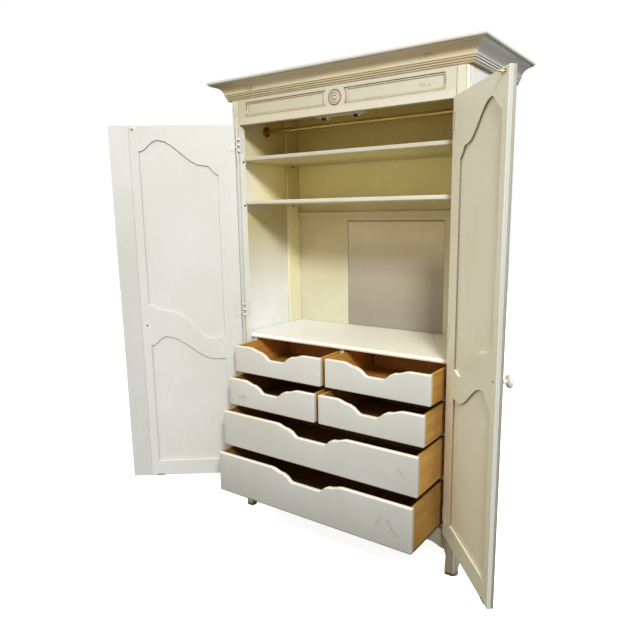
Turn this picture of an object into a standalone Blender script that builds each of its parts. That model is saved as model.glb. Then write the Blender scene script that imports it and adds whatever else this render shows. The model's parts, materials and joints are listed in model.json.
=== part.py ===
"""Country armoire with two panelled doors and six scalloped drawers.

Metres, +Z up.  The front faces -Y.  The piece stands on z = 0 and the origin
is the middle of its footprint with both doors standing open and the drawers
partly drawn, which is the state modelled here.
"""
import math
import bpy
import bmesh
from mathutils import Vector, Matrix

for ob in list(bpy.data.objects):
    bpy.data.objects.remove(ob, do_unlink=True)

# ------------------------------------------------------------------ sizes
GAP = 0.0003            # clearance between faces that meet
OX, OY = 0.05463, -0.05438  # carcass centre and face-frame plane, from the origin

HEIGHT = 2.130          # top of the crown
CARCASS_TOP = 2.0457    # top of posts, frieze and sides
HALF_OUT = 0.592        # outer side of the carcass
HALF_OPEN = 0.538       # half width of the door opening
POST_T = 0.034          # front posts, front to back
DEPTH_BACK = 0.4867     # rear face of the rear posts
REAR_POST_Y = 0.3877    # front face of the rear posts
REAR_POST_X = 0.562     # inner face of the rear posts
SIDE_T = 0.0145         # side panel thickness
BACK_T = 0.012          # back panel thickness

FRIEZE_Z = 1.9342       # underside of the frieze rail
SHELF_T = 0.0178
SHELF_Z = (1.7727, 1.5694)   # undersides of the two shelves
SHELF_Y = 0.0280        # front edge of the shelves and of the deck
DECK_Z, DECK_T = 0.9120, 0.0195
ROD_Y, ROD_Z, ROD_R = 0.242, 1.929, 0.0110

BAY_HALF = 0.5135       # half width of the drawer bay
BAY_Y = 0.0455          # front plane of the drawer rails
RAIL_T = 0.020          # drawer rails, front to back
DRAWER_HALF = 0.5124
DRAWER_GAP = 0.0108     # half the gap between the paired drawers
FRONT_T = 0.020
WALL_T = 0.0125
DRAWER_DEPTH = 0.420
ROWS = ((0.7704, 0.8983), (0.6185, 0.7482), (0.4292, 0.5966), (0.2092, 0.4013))
# name, row, left x, right x, how far the front face stands before the face frame
DRAWERS = (
    ("drawer_1", 0, -DRAWER_HALF, -DRAWER_GAP, 0.1201),
    ("drawer_2", 0, DRAWER_GAP, DRAWER_HALF, 0.1123),
    ("drawer_3", 1, -DRAWER_HALF, -DRAWER_GAP, 0.1684),
    ("drawer_4", 1, DRAWER_GAP, DRAWER_HALF, 0.1661),
    ("drawer_5", 2, -DRAWER_HALF, DRAWER_HALF, 0.2170),
    ("drawer_6", 3, -DRAWER_HALF, DRAWER_HALF, 0.2584),
)

HINGE_X, HINGE_Y = 0.5465, -0.0160   # hinge pins
DOOR_LOW, DOOR_TOP = 0.2020, 1.9335
DOOR_T = 0.0240
DOOR_INNER = 0.0120     # inner face behind the pin, door shut
DOOR_EDGE = 0.0060      # hinge edge of the door from the pin
DOOR_W = 0.4965         # free edge of the door from the pin
STILE_W = 0.0920        # outer edge of the middle stile from the left door's free edge
DOOR_PANEL = (0.0920, 0.4560)   # panel openings, from the pin
DOOR_REBATE = 0.0080
LIP_T = 0.0075
OPEN_RIGHT = math.radians(131.1)
OPEN_LEFT = math.radians(142.0)
HINGE_ZS = (1.846, 1.060, 0.292)
LEAF_H, LEAF_W, LEAF_T = 0.066, 0.034, 0.0016
KNUCKLE_R, PIN_R = 0.0053, 0.0027
KNOB_U, KNOB_Z = 0.470, 0.990

# ------------------------------------------------------------- materials
def material(name, rgb, rough, metal=0.0):
    m = bpy.data.materials.new(name)
    m.use_nodes = True
    b = m.node_tree.nodes["Principled BSDF"]
    b.inputs["Base Color"].default_value = (*rgb, 1.0)
    b.inputs["Roughness"].default_value = rough
    b.inputs["Metallic"].default_value = metal
    m.diffuse_color = (*rgb, 1.0)
    return m

PAINT = dict(rgb=(0.80, 0.76, 0.63), rough=0.45)
PAINT_IN = dict(rgb=(0.66, 0.58, 0.38), rough=0.55)
PAINT_FRONT = dict(rgb=(0.74, 0.72, 0.64), rough=0.45)
WOOD = dict(rgb=(0.55, 0.32, 0.10), rough=0.55)
GREY = dict(rgb=(0.42, 0.38, 0.30), rough=0.6)
METAL = dict(rgb=(0.62, 0.50, 0.28), rough=0.25, metal=1.0)
PAINT_METAL = dict(rgb=(0.76, 0.73, 0.63), rough=0.4, metal=0.0)

# --------------------------------------------------------------- helpers
root = bpy.data.objects.new("armoire", None)
bpy.context.scene.collection.objects.link(root)
root.location = (OX, OY, 0.0)


def finish(name, bm, mat, parent=None, smooth=None):
    bmesh.ops.remove_doubles(bm, verts=bm.verts, dist=1e-6)
    bmesh.ops.recalc_face_normals(bm, faces=bm.faces)
    me = bpy.data.meshes.new(name)
    bm.to_mesh(me)
    bm.free()
    ob = bpy.data.objects.new(name, me)
    bpy.context.scene.collection.objects.link(ob)
    me.materials.append(material(name + "_finish", **mat))
    if smooth is not None:
        me.shade_smooth()
        me.set_sharp_from_angle(angle=math.radians(smooth))
    ob.parent = parent or root
    return ob


def add_box(bm, x0, x1, y0, y1, z0, z1):
    v = [bm.verts.new((x, y, z)) for x in (x0, x1) for y in (y0, y1) for z in (z0, z1)]
    for f in ((0, 1, 3, 2), (4, 6, 7, 5), (0, 4, 5, 1), (2, 3, 7, 6), (0, 2, 6, 4), (1, 5, 7, 3)):
        bm.faces.new([v[i] for i in f])


def box(name, x0, x1, y0, y1, z0, z1, mat, parent=None):
    bm = bmesh.new()
    add_box(bm, x0, x1, y0, y1, z0, z1)
    return finish(name, bm, mat, parent)


def prism(name, outline, axis, a, b, mat, parent=None, smooth=None, hide=False):
    """Extrudes a closed outline of (p, q) from a to b along axis 'x', 'y' or 'z'."""
    put = {"x": lambda p, q, t: (t, p, q), "y": lambda p, q, t: (p, t, q), "z": lambda p, q, t: (p, q, t)}[axis]
    bm = bmesh.new()
    lo = [bm.verts.new(put(p, q, a)) for p, q in outline]
    hi = [bm.verts.new(put(p, q, b)) for p, q in outline]
    n = len(outline)
    bm.faces.new(lo)
    bm.faces.new(hi)
    for i in range(n):
        bm.faces.new((lo[i], lo[(i + 1) % n], hi[(i + 1) % n], hi[i]))
    bmesh.ops.triangulate(bm, faces=[f for f in bm.faces if len(f.verts) > 4])
    ob = finish(name, bm, mat, parent, smooth)
    if hide:
        ob.hide_render = True
        ob.display_type = "WIRE"
    return ob


def lathe(name, profile, steps, mat, parent, place, smooth=40):
    """Turns (radius, height) points about local Z; a first or last radius of 0 closes on the axis."""
    bm = bmesh.new()
    rings = []
    for r, h in profile:
        if r < 1e-7:
            rings.append([bm.verts.new((0, 0, h))])
        else:
            rings.append([bm.verts.new((r * math.cos(2 * math.pi * k / steps),
                                        r * math.sin(2 * math.pi * k / steps), h)) for k in range(steps)])
    closed = len(rings[0]) > 1 and len(rings[-1]) > 1
    pairs = list(zip(rings, rings[1:])) + ([(rings[-1], rings[0])] if closed else [])
    for A, B in pairs:
        for k in range(steps):
            j = (k + 1) % steps
            q = [A[k % len(A)], A[j % len(A)], B[j % len(B)], B[k % len(B)]]
            u = []
            for v in q:
                if v not in u:
                    u.append(v)
            if len(u) > 2:
                bm.faces.new(u)
    for v in bm.verts:
        v.co = place @ v.co
    return finish(name, bm, mat, parent, smooth)


def cut(ob, cutter):
    m = ob.modifiers.new("cut_" + cutter.name, "BOOLEAN")
    m.operation = "DIFFERENCE"
    m.solver = "EXACT"
    m.object = cutter
    cutter.hide_render = True
    cutter.display_type = "WIRE"
    cutter.parent = ob.parent


def ease(t):
    t = min(1.0, max(0.0, t))
    return 0.5 - 0.5 * math.cos(math.pi * t)


def run(stations, n):
    """Curve through stations (x, z) joined by S-shaped eases, n points a span."""
    pts = [stations[0]]
    for (x0, z0), (x1, z1) in zip(stations, stations[1:]):
        k = n if abs(z1 - z0) > 0.004 else 1
        for i in range(1, k + 1):
            t = i / k
            pts.append((x0 + (x1 - x0) * t, z0 + (z1 - z0) * ease(t)))
    return pts


def offset(loop, d):
    """Moves a counter-clockwise loop outward by d, mitred."""
    out = []
    n = len(loop)
    for i in range(n):
        p, c, q = Vector(loop[i - 1]), Vector(loop[i]), Vector(loop[(i + 1) % n])
        a, b = (c - p).normalized(), (q - c).normalized()
        na, nb = Vector((a.y, -a.x)), Vector((b.y, -b.x))
        m = (na + nb) / (1.0 + na.dot(nb)) if na.dot(nb) > -0.5 else na
        out.append((c.x + m.x * d, c.y + m.y * d))
    return out


def fill(bm, loops):
    """Fills one outer ring and any holes given as lists of verts."""
    edges = []
    for ring in loops:
        for i in range(len(ring)):
            e = bm.edges.get((ring[i - 1], ring[i]))
            edges.append(e or bm.edges.new((ring[i - 1], ring[i])))
    bmesh.ops.triangle_fill(bm, use_beauty=True, edges=edges)


def strip(bm, A, B):
    n = len(A)
    for i in range(n):
        bm.faces.new((A[i], A[(i + 1) % n], B[(i + 1) % n], B[i]))


def ring(bm, loop, put):
    return [bm.verts.new(put(p, q)) for p, q in loop]

# ------------------------------------------------------------ the carcass
def post_outline(s):
    """Plan of a front post: flat face, a bead between two quirks, canted corner."""
    pts = [(HALF_OPEN, 0.0), (0.5730, 0.0), (0.5742, 0.0026)]
    cx, cy, r = 0.5783, 0.0040, 0.0038
    for k in range(1, 5):
        a = math.radians(200 - 0 + (320 - 200) * k / 5)
        pts.append((cx + r * math.cos(a), cy + r * math.sin(a)))
    pts += [(0.5823, 0.0050), (0.5832, 0.0062), (HALF_OUT, 0.0135), (HALF_OUT, POST_T), (HALF_OPEN, POST_T)]
    return [(s * x, y) for x, y in pts]


HOLE_PITCH, HOLE_R, HOLE_D = 0.0688, 0.0030, 0.010
HOLE_Z0 = 1.171


def peg_holes(s, x_face, y, parent):
    """A row of blind shelf-peg holes, bored sideways into a post's inner face."""
    bm = bmesh.new()
    for k in range(9):
        z = HOLE_Z0 + HOLE_PITCH * k
        lo, hi = [], []
        for i in range(8):
            a = 2 * math.pi * (i + 0.5) / 8
            lo.append(bm.verts.new((s * (x_face - 0.004), y + HOLE_R * math.cos(a), z + HOLE_R * math.sin(a))))
            hi.append(bm.verts.new((s * (x_face + HOLE_D), y + HOLE_R * math.cos(a), z + HOLE_R * math.sin(a))))
        bm.faces.new(lo)
        bm.faces.new(hi)
        strip(bm, lo, hi)
    return finish("holes_%s_%03d" % ("r" if s > 0 else "l", int(y * 1000)), bm, PAINT_IN)


for s, side in ((-1, "left"), (1, "right")):
    post = prism(side + "_front_post", post_outline(s), "z", 0.0, CARCASS_TOP, PAINT, smooth=35)
    # foot: the inner edge draws in with an S below the apron
    foot = [(0.500, -0.01)] + [(x, z) for z, x in run([(-0.01, 0.5435), (0.020, 0.5435), (0.085, 0.5465), (0.1225, 0.5372)], 5)] + [(0.500, 0.1225)]
    cut(post, prism("foot_cut_" + side, [(s * x, z) for x, z in foot], "y", -0.01, POST_T + 0.01, PAINT, hide=True))
    cut(post, peg_holes(s, HALF_OPEN, 0.0180, root))
    # rear post: a square post with the back foot
    rear = box(side + "_rear_post", s * REAR_POST_X, s * HALF_OUT, REAR_POST_Y, DEPTH_BACK, 0.0, CARCASS_TOP, PAINT)
    heel = [(REAR_POST_Y - 0.01, -0.01)] + [(y, z) for z, y in run([(-0.01, DEPTH_BACK - 0.036), (0.012, DEPTH_BACK - 0.036), (0.118, REAR_POST_Y - 0.001)], 7)] + [(REAR_POST_Y - 0.01, 0.118)]
    cut(rear, prism("heel_cut_" + side, heel, "x", s * (REAR_POST_X - 0.02), s * (HALF_OUT + 0.02), PAINT, hide=True))
    cut(rear, peg_holes(s, REAR_POST_X, 0.4310, root))
    # side panel: its lower edge sweeps up between the two feet
    y0, y1 = POST_T + GAP, REAR_POST_Y - GAP
    low = run([(y0, 0.030), (y0 + 0.075, 0.118), (y1 - 0.0075, 0.1190), (y1, 0.1190)], 7)
    prism(side + "_side_panel", low + [(y1, CARCASS_TOP), (y0, CARCASS_TOP)], "x",
          s * (HALF_OUT - SIDE_T), s * (HALF_OUT - 0.0005), PAINT)

# back panel with a cut-out for the wiring of a set, closed by a loose panel
bx0, bx1, bz0, bz1 = -0.2465, 0.2955, 0.9340, 1.4830
BACK_HALF = HALF_OUT - 0.0020
bm = bmesh.new()
by0, by1 = DEPTH_BACK + GAP, DEPTH_BACK + GAP + BACK_T
outer = [(-BACK_HALF, 0.100), (BACK_HALF, 0.100), (BACK_HALF, CARCASS_TOP - 0.002), (-BACK_HALF, CARCASS_TOP - 0.002)]
inner = [(bx0, bz0), (bx1, bz0), (bx1, bz1), (bx0, bz1)]
loops = [[ring(bm, lp, lambda p, q, y=y: (p, y, q)) for lp in (outer, inner)] for y in (by0, by1)]
for k in (0, 1):
    strip(bm, loops[k][0], loops[k][1])
strip(bm, loops[0][0], loops[1][0])
strip(bm, loops[0][1], loops[1][1])
finish("back_panel", bm, PAINT_IN)
box("rear_access_panel", bx0 + 0.0015, bx1 - 0.0015, by0 + 0.0015, by1 - 0.004, bz0 + 0.0015, bz1 - 0.0015, GREY)

# roof board inside the crown
box("top_panel", -0.5645, 0.5645, 0.0402, 0.4990, CARCASS_TOP + GAP, CARCASS_TOP + 0.0125, PAINT_IN)

# frieze rail with two sunk panels and the boss between them
BOSS_Z = 1.9970
ARC_R = 0.0560


def frieze_panel(s, d):
    """Outline of a sunk panel: hollow end round the boss, softly bowed far end; d shrinks it."""
    z0, z1 = 1.9680 + d, 2.0310 - d
    r = ARC_R + d
    pts = []
    n = 6
    for k in range(n + 1):                      # hollow end, bottom to top
        z = z0 + (z1 - z0) * k / n
        pts.append((math.sqrt(max(1e-8, r * r - (z - BOSS_Z) ** 2)), z))
    far = 0.4975 - d
    end = []
    for k in range(n + 1):                      # bowed far end, top to bottom
        t = k / n
        z = z1 + (z0 - z1) * t
        end.append((far - 0.006 * (1 - math.sin(math.pi * t)), z))
    loop = pts[::-1]                            # top to bottom on the hollow end
    loop = loop + end[::-1]                     # then bottom to top on the far end
    return [(s * x, z) for x, z in (loop if s > 0 else loop[::-1])]


bm = bmesh.new()
fx, fz0, fz1 = HALF_OPEN - GAP, FRIEZE_Z, CARCASS_TOP
corners = [(-fx, fz0), (fx, fz0), (fx, fz1), (-fx, fz1)]
front = ring(bm, corners, lambda p, q: (p, 0.0, q))
back = ring(bm, corners, lambda p, q: (p, 0.0300, q))
holes = []
for s in (-1, 1):
    levels = ((0.0, 0.0), (0.0012, 0.0050), (0.0062, 0.0040), (0.0090, 0.0075), (0.0120, 0.0075))
    rings_ = [ring(bm, frieze_panel(s, d), lambda p, q, y=y: (p, y, q)) for d, y in levels]
    for A, B in zip(rings_, rings_[1:]):
        strip(bm, A, B)
    fill(bm, [rings_[-1]])
    holes.append(rings_[0])
# turned boss: (radius, depth behind the rail's face)
ROSETTE = ((0.0335, 0.0), (0.0320, 0.0024), (0.0302, 0.0022), (0.0290, -0.0004), (0.0215, -0.0020), (0.0200, 0.0010),
           (0.0186, 0.0006), (0.0120, -0.0012), (0.0088, 0.0012), (0.0074, -0.0010), (0.0040, -0.0030))
turns = [[(r * math.cos(2 * math.pi * k / 24), BOSS_Z + r * math.sin(2 * math.pi * k / 24)) for k in range(24)] for r, y in ROSETTE]
rings_ = [ring(bm, lp, lambda p, q, y=y: (p, y, q)) for lp, (r, y) in zip(turns, ROSETTE)]
for A, B in zip(rings_, rings_[1:]):
    strip(bm, A, B)
bm.faces.new(rings_[-1])
holes.append(rings_[0])
fill(bm, [front] + holes)
bm.faces.new(back)
strip(bm, front, back)
finish("frieze_rail", bm, PAINT, smooth=30)
face_y = Matrix.Rotation(math.radians(90), 4, "X")   # local +Z points to -Y

# crown moulding: one profile mitred round the front and both sides
CROWN_IN = 0.0270       # how far the crown's back edge lies inside the carcass face
def crown_profile():
    """(projection from the carcass face, height) from the bottom inside edge up and over."""
    z0 = CARCASS_TOP + GAP
    p = [(-CROWN_IN, z0), (0.0120, z0), (0.0132, z0 + 0.0015), (0.0150, z0 + 0.0050), (0.0140, z0 + 0.0088), (0.0158, z0 + 0.0098),
         (0.0190, z0 + 0.0128), (0.0178, z0 + 0.0168), (0.0200, z0 + 0.0178), (0.0232, z0 + 0.0210), (0.0222, z0 + 0.0252), (0.0246, z0 + 0.0262)]
    x0, x1, h0, h1 = 0.0246, 0.0722, z0 + 0.0262, HEIGHT - 0.0180
    for k in range(1, 9):                       # the big hollow
        a = math.radians(90.0 * k / 8)
        p.append((x0 + (x1 - x0) * (1 - math.cos(a)), h0 + (h1 - h0) * math.sin(a)))
    p += [(0.0722, HEIGHT - 0.0150), (0.0760, HEIGHT - 0.0145), (0.0805, HEIGHT - 0.0125), (0.0827, HEIGHT - 0.0085),
          (0.0822, HEIGHT - 0.0030), (0.0790, HEIGHT), (-CROWN_IN + 0.004, HEIGHT), (-CROWN_IN, HEIGHT - 0.004)]
    return p


CROWN_Y0 = 0.0127       # the front run's face plane, so its lip stands at -0.0700
CROWN_REAR = 0.5068
bm = bmesh.new()
sections = []
for corner in ("rear_l", "front_l", "front_r", "rear_r"):
    sx = -1 if corner.endswith("l") else 1
    sec = []
    for d, z in crown_profile():
        x = sx * (HALF_OUT + d)
        y = CROWN_REAR if corner.startswith("rear") else (CROWN_Y0 - d)
        sec.append(bm.verts.new((x, y, z)))
    sections.append(sec)
for A, B in zip(sections, sections[1:]):
    strip(bm, A, B)
for sec in (sections[0], sections[-1]):
    f = bm.faces.new(sec)
    bmesh.ops.triangulate(bm, faces=[f])
finish("crown_moulding", bm, PAINT, smooth=30)


def board(name, z, t, y0, nose, mat, x_tongue=HALF_OPEN - 0.0006):
    """A board across the carcass: its front edge stands between the front posts, its corners are notched round all four."""
    half = HALF_OUT - SIDE_T - GAP * 2
    y1 = DEPTH_BACK
    if nose:                                    # full rounded nosing
        front = [(y0 + 0.0075 - 0.0075 * math.sin(math.radians(a)), z + t / 2 + (t / 2) * math.cos(math.radians(a))) for a in range(0, 181, 30)]
    else:                                       # eased arrises
        front = [(y0 + 0.0030, z + t), (y0, z + t - 0.0030), (y0, z + 0.0025), (y0 + 0.0025, z)]
    ob = prism(name, front + [(y1, z), (y1, z + t)], "x", -half, half, mat, smooth=40 if nose else None)
    notch_y = POST_T + GAP
    for s in (-1, 1):
        bm = bmesh.new()
        a, b = sorted((s * (REAR_POST_X - GAP), s * 0.62))
        add_box(bm, a, b, REAR_POST_Y - GAP, DEPTH_BACK + 0.02, z - 0.02, z + t + 0.02)
        cut(ob, finish(name + ("_rear_notch_l" if s < 0 else "_rear_notch_r"), bm, mat))
        if y0 < notch_y:
            bm = bmesh.new()
            a, b = sorted((s * x_tongue, s * 0.62))
            add_box(bm, a, b, -0.05, notch_y, z - 0.02, z + t + 0.02)
            cut(ob, finish(name + ("_front_notch_l" if s < 0 else "_front_notch_r"), bm, mat))
    return ob


board("upper_shelf", SHELF_Z[0], SHELF_T, SHELF_Y, False, PAINT_IN)
board("lower_shelf", SHELF_Z[1], SHELF_T, SHELF_Y, False, PAINT_IN)
board("deck_panel", DECK_Z, DECK_T, SHELF_Y, True, PAINT_IN)
board("bottom_panel", 0.1880, 0.0202, 0.0243, False, PAINT)

# drawer bay: stiles with their runner boards, rails with dust boards, dividers
for s, side in ((-1, "left"), (1, "right")):
    xa, xb, xc, xd = BAY_HALF, BAY_HALF + 0.0025, BAY_HALF + 0.0125, HALF_OUT - SIDE_T - GAP * 2
    (a, b), (c, d), (e, f) = (sorted((s * p, s * q)) for p, q in ((xa, xd), (xc, xd + 0.02), (xa - 0.02, xb)))
    stile = box(side + "_bay_side", a, b, BAY_Y, DEPTH_BACK, 0.2082 + GAP, DECK_Z - GAP, WOOD)
    cut(stile, box("bay_outer_" + side, c, d, BAY_Y + RAIL_T, DEPTH_BACK + 0.02, 0.15, 0.95, WOOD))
    cut(stile, box("bay_inner_" + side, e, f, BAY_Y + RAIL_T, DEPTH_BACK + 0.02, 0.15, 0.95, WOOD))
rail_half = BAY_HALF - GAP
DUST_T = 0.0100
RAILS = ((0.7495, 0.7693), (0.5978, 0.6174), (0.4024, 0.4281))
for k, (z0, z1) in enumerate(RAILS):
    ell = [(BAY_Y, z0), (BAY_Y + RAIL_T, z0), (BAY_Y + RAIL_T, z1 - DUST_T), (DEPTH_BACK, z1 - DUST_T), (DEPTH_BACK, z1), (BAY_Y, z1)]
    prism("drawer_frame_%d" % (k + 1), ell, "x", -rail_half, rail_half, PAINT)
box("upper_divider", -0.0100, 0.0100, BAY_Y, 0.4700, RAILS[0][1] + GAP, DECK_Z - GAP, PAINT)
box("lower_divider", -0.0100, 0.0100, BAY_Y, 0.4700, RAILS[1][1] + GAP, RAILS[0][0] - GAP, PAINT)
# apron: hollow brackets at the feet, rising to a shallow centre drop
half = run([(0.0, 0.1480), (0.100, 0.1580), (0.300, 0.1565), (0.474, 0.1320), (HALF_OPEN - GAP, 0.1130)], 5)
apron = [(-x, z) for x, z in reversed(half)] + half[1:]
prism("front_apron", apron + [(HALF_OPEN - GAP, 0.2005), (-(HALF_OPEN - GAP), 0.2005)], "y", 0.0020, 0.0240, PAINT, smooth=30)

# closet rod and its two round sockets
along_x = Matrix.Rotation(math.radians(90), 4, "Y")
wall = HALF_OUT - SIDE_T - GAP
lathe("closet_rod", [(0, -wall), (ROD_R, -wall), (ROD_R, wall), (0, wall)], 16, METAL, root,
      Matrix.Translation((0, ROD_Y, ROD_Z)) @ along_x)
for s, side in ((-1, "left"), (1, "right")):
    f = [(ROD_R + 0.0006, wall), (0.0250, wall), (0.0250, wall - 0.0030), (0.0225, wall - 0.0050), (0.0185, wall - 0.0060),
         (0.0180, wall - 0.0140), (ROD_R + 0.0006, wall - 0.0140)]
    lathe(side + "_rod_socket", [(r, s * h) for r, h in f], 20, METAL, root,
          Matrix.Translation((0, ROD_Y, ROD_Z)) @ along_x)
box("back_cleat", -(REAR_POST_X - 0.0006), REAR_POST_X - 0.0006, DEPTH_BACK - 0.0167, DEPTH_BACK, 1.5040, 1.5280, PAINT_IN)

# -------------------------------------------------------------- the doors
def door_curves(lo, hi):
    """The two panel openings, each a counter-clockwise loop of (u, z)."""
    w = hi - lo
    x = lambda f: lo + w * f
    top_hi = run([(x(1.0), 1.8165), (x(0.758), 1.8680), (x(0.187), 1.7505), (x(0.154), 1.7500), (x(0.0), 1.7080)], 7)
    top_lo = run([(x(0.0), 0.9300), (x(0.159), 0.9176), (x(0.695), 1.0570), (x(0.846), 1.0680), (x(1.0), 1.0980)], 6)
    low_hi = run([(x(1.0), 0.8880), (x(0.791), 0.9326), (x(0.132), 0.8134), (x(0.0), 0.8154)], 8)
    low_lo = [(x(0.0), 0.2820), (x(1.0), 0.2820)]
    return top_lo + top_hi, low_lo + low_hi


def door(side, s, angle):
    """One door hung on an empty that stands on its pins; local +X runs from the pin to the free edge."""
    hub = bpy.data.objects.new(side + "_door_hinge_axis", None)
    bpy.context.scene.collection.objects.link(hub)
    hub.parent = root
    hub.location = (s * HINGE_X, HINGE_Y, 0.0)
    hub.rotation_euler = (0, 0, s * angle)
    # local frame with the door shut: u runs to the middle of the opening, w out of the front
    put = lambda u, z, w: (-s * u, DOOR_INNER - w, z)
    A = door_curves(*DOOR_PANEL)
    bm = bmesh.new()
    # the right door's free edge has a flat, a quirk and a small bead; the left door's is plain
    edge = ((0.0, 0.0), (DOOR_T, 0.0)) if s < 0 else (
        (0.0, 0.0), (0.0135, 0.0), (0.0140, 0.0030), (0.0172, 0.0030), (0.0178, 0.0004), (0.0190, 0.0), (DOOR_T - 0.0015, 0.0), (DOOR_T, 0.0015))
    rims = [ring(bm, [(DOOR_EDGE, DOOR_LOW), (DOOR_W - d, DOOR_LOW), (DOOR_W - d, DOOR_TOP), (DOOR_EDGE, DOOR_TOP)],
                 lambda u, z, w=w: put(u, z, w)) for w, d in edge]
    for P, Q in zip(rims, rims[1:]):
        strip(bm, P, Q)
    o0, o1 = rims[0], rims[-1]
    in_rings, out_rings = [], []
    for loop in A:
        r0 = ring(bm, loop, lambda u, z: put(u, z, 0.0))
        r1 = ring(bm, loop, lambda u, z: put(u, z, LIP_T))
        wide = offset(loop, DOOR_REBATE)
        r2 = ring(bm, wide, lambda u, z: put(u, z, LIP_T))
        r3 = ring(bm, wide, lambda u, z: put(u, z, DOOR_T))
        strip(bm, r0, r1)
        strip(bm, r1, r2)
        strip(bm, r2, r3)
        in_rings.append(r0)
        out_rings.append(r3)
    fill(bm, [o0] + in_rings)
    fill(bm, [o1] + out_rings)
    finish(side + "_door_frame", bm, PAINT, hub)
    for loop, nm in zip(A, ("upper", "lower")):
        bm = bmesh.new()
        edge = offset(loop, DOOR_REBATE - 0.0004)
        field = offset(loop, -0.0260)
        step = offset(loop, -0.0220)
        r = [ring(bm, edge, lambda u, z: put(u, z, LIP_T + GAP)),
             ring(bm, edge, lambda u, z: put(u, z, LIP_T + 0.0080)),
             ring(bm, step, lambda u, z: put(u, z, LIP_T + 0.0110)),
             ring(bm, field, lambda u, z: put(u, z, LIP_T + 0.0140))]
        for P, Q in zip(r, r[1:]):
            strip(bm, P, Q)
        fill(bm, [r[0]])
        fill(bm, [r[-1]])
        finish("%s_%s_panel" % (side, nm), bm, PAINT, hub)
    if s < 0:
        u0, u1 = DOOR_W + GAP, DOOR_W + STILE_W
        prof = [(u0, 0.0), (u1, 0.0), (u1, DOOR_T - 0.006), (u1 - 0.002, DOOR_T - 0.002), (u1 - 0.006, DOOR_T),
                (u0 + 0.006, DOOR_T), (u0 + 0.002, DOOR_T - 0.002), (u0, DOOR_T - 0.006)]
        prism("centre_stile", [put(u, 0, w)[:2] for u, w in prof], "z", DOOR_LOW, DOOR_TOP, PAINT, hub)
    # knob on the outer face
    ku = KNOB_U
    kx, ky, kz = put(ku, KNOB_Z, DOOR_T + GAP)
    lathe(side + "_knob", [(0, 0), (0.0150, 0), (0.0150, 0.0025), (0.0085, 0.0045), (0.0065, 0.0120), (0.0075, 0.0185),
                           (0.0170, 0.0230), (0.0225, 0.0290), (0.0220, 0.0350), (0.0150, 0.0385), (0, 0.0400)],
          16, PAINT_METAL, hub, Matrix.Translation((kx, ky, kz)) @ face_y)
    # hinges: fixed half with pin and finials on the post, moving half on the door
    for z, nm in zip(HINGE_ZS, ("upper", "middle", "lower")):
        third = LEAF_H / 3.0
        zb, zt = z - LEAF_H / 2, z + LEAF_H / 2
        r, q = KNUCKLE_R, PIN_R
        fin = [(0, zb - 0.056), (0.0016, zb - 0.050), (0.0030, zb - 0.026), (0.0022, zb - 0.014), (0.0046, zb - 0.009),
               (0.0030, zb - 0.003), (r, zb), (r, zb + third - GAP), (q, zb + third - GAP),
               (q, zt - third + GAP), (r, zt - third + GAP), (r, zt), (0.0030, zt + 0.003), (0.0046, zt + 0.009),
               (0.0022, zt + 0.014), (0.0030, zt + 0.026), (0.0016, zt + 0.050), (0, zt + 0.056)]
        pin = lathe("%s_%s_hinge_post_half" % (side, nm), fin, 10, PAINT_METAL, root,
                    Matrix.Translation((s * HINGE_X, HINGE_Y, 0)))
        # strap back to the post's corner and a leaf on the post's inner side
        plan_ = [(HALF_OPEN - 0.0003 - LEAF_T, 0.0330), (HALF_OPEN - 0.0003 - LEAF_T, -0.0020), (HINGE_X - 0.0010, HINGE_Y + 0.0005),
                 (HINGE_X + 0.0010, HINGE_Y + 0.0015), (HALF_OPEN + 0.0050, -0.0004), (HALF_OPEN - 0.0003, -0.0004), (HALF_OPEN - 0.0003, 0.0330)]
        leaf = prism("leaf_%s_%s" % (side, nm), [(s * x, y) for x, y in plan_], "z", zb + 0.0005, zt - 0.0005, PAINT_METAL, root, hide=True)
        # the middle third of the strap gives way to the moving knuckle
        bm = bmesh.new()
        a, b = sorted((s * (HALF_OPEN + 0.0030), s * (HINGE_X + 0.012)))
        add_box(bm, a, b, HINGE_Y - 0.012, -0.0001, zb + third - 0.0008, zt - third + 0.0008)
        clear = finish("clear_%s_%s" % (side, nm), bm, PAINT_METAL, root)
        clear.hide_render = True
        clear.display_type = "WIRE"
        cut(leaf, clear)
        m = pin.modifiers.new("join_leaf", "BOOLEAN")
        m.operation = "UNION"
        m.solver = "EXACT"
        m.object = leaf
        # moving half: a knuckle ring round the pin and a leaf on the door's inner face
        kz0, kz1 = zb + third + GAP, zt - third - GAP
        ringo = lathe("%s_%s_hinge_door_half" % (side, nm), [(q + 0.0004, kz0), (r, kz0), (r, kz1), (q + 0.0004, kz1)],
                      12, PAINT_METAL, hub, Matrix.Identity(4))
        w0 = DOOR_INNER + GAP
        pl = [(0.0034, 0.0010), (DOOR_EDGE - 0.0019, w0 - 0.004), (DOOR_EDGE - 0.0021, w0 + LEAF_T - 0.0003),
              (DOOR_EDGE + 0.0060, w0 + LEAF_T - 0.0003), (DOOR_EDGE + 0.0060, w0 + 0.0003), (DOOR_EDGE - 0.0006, w0 + 0.0003),
              (DOOR_EDGE - 0.0006, w0 - 0.004), (0.0047, 0.0)]
        strap = prism("strap_%s_%s" % (side, nm), [(-s * u, w) for u, w in pl], "z", kz0 + 0.0005, kz1 - 0.0005, PAINT_METAL, hub, hide=True)
        bm = bmesh.new()
        a, b = sorted((-s * (DOOR_EDGE + 0.0002), -s * (DOOR_EDGE + LEAF_W)))
        add_box(bm, a, b, w0, w0 + LEAF_T, zb, zt)
        plate = finish("plate_%s_%s" % (side, nm), bm, PAINT_METAL, hub)
        plate.hide_render = True
        plate.display_type = "WIRE"
        for o in (strap, plate):
            m = ringo.modifiers.new("join_" + o.name, "BOOLEAN")
            m.operation = "UNION"
            m.solver = "EXACT"
            m.object = o
    return hub


door("right", 1, OPEN_RIGHT)
door("left", -1, OPEN_LEFT)

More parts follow.
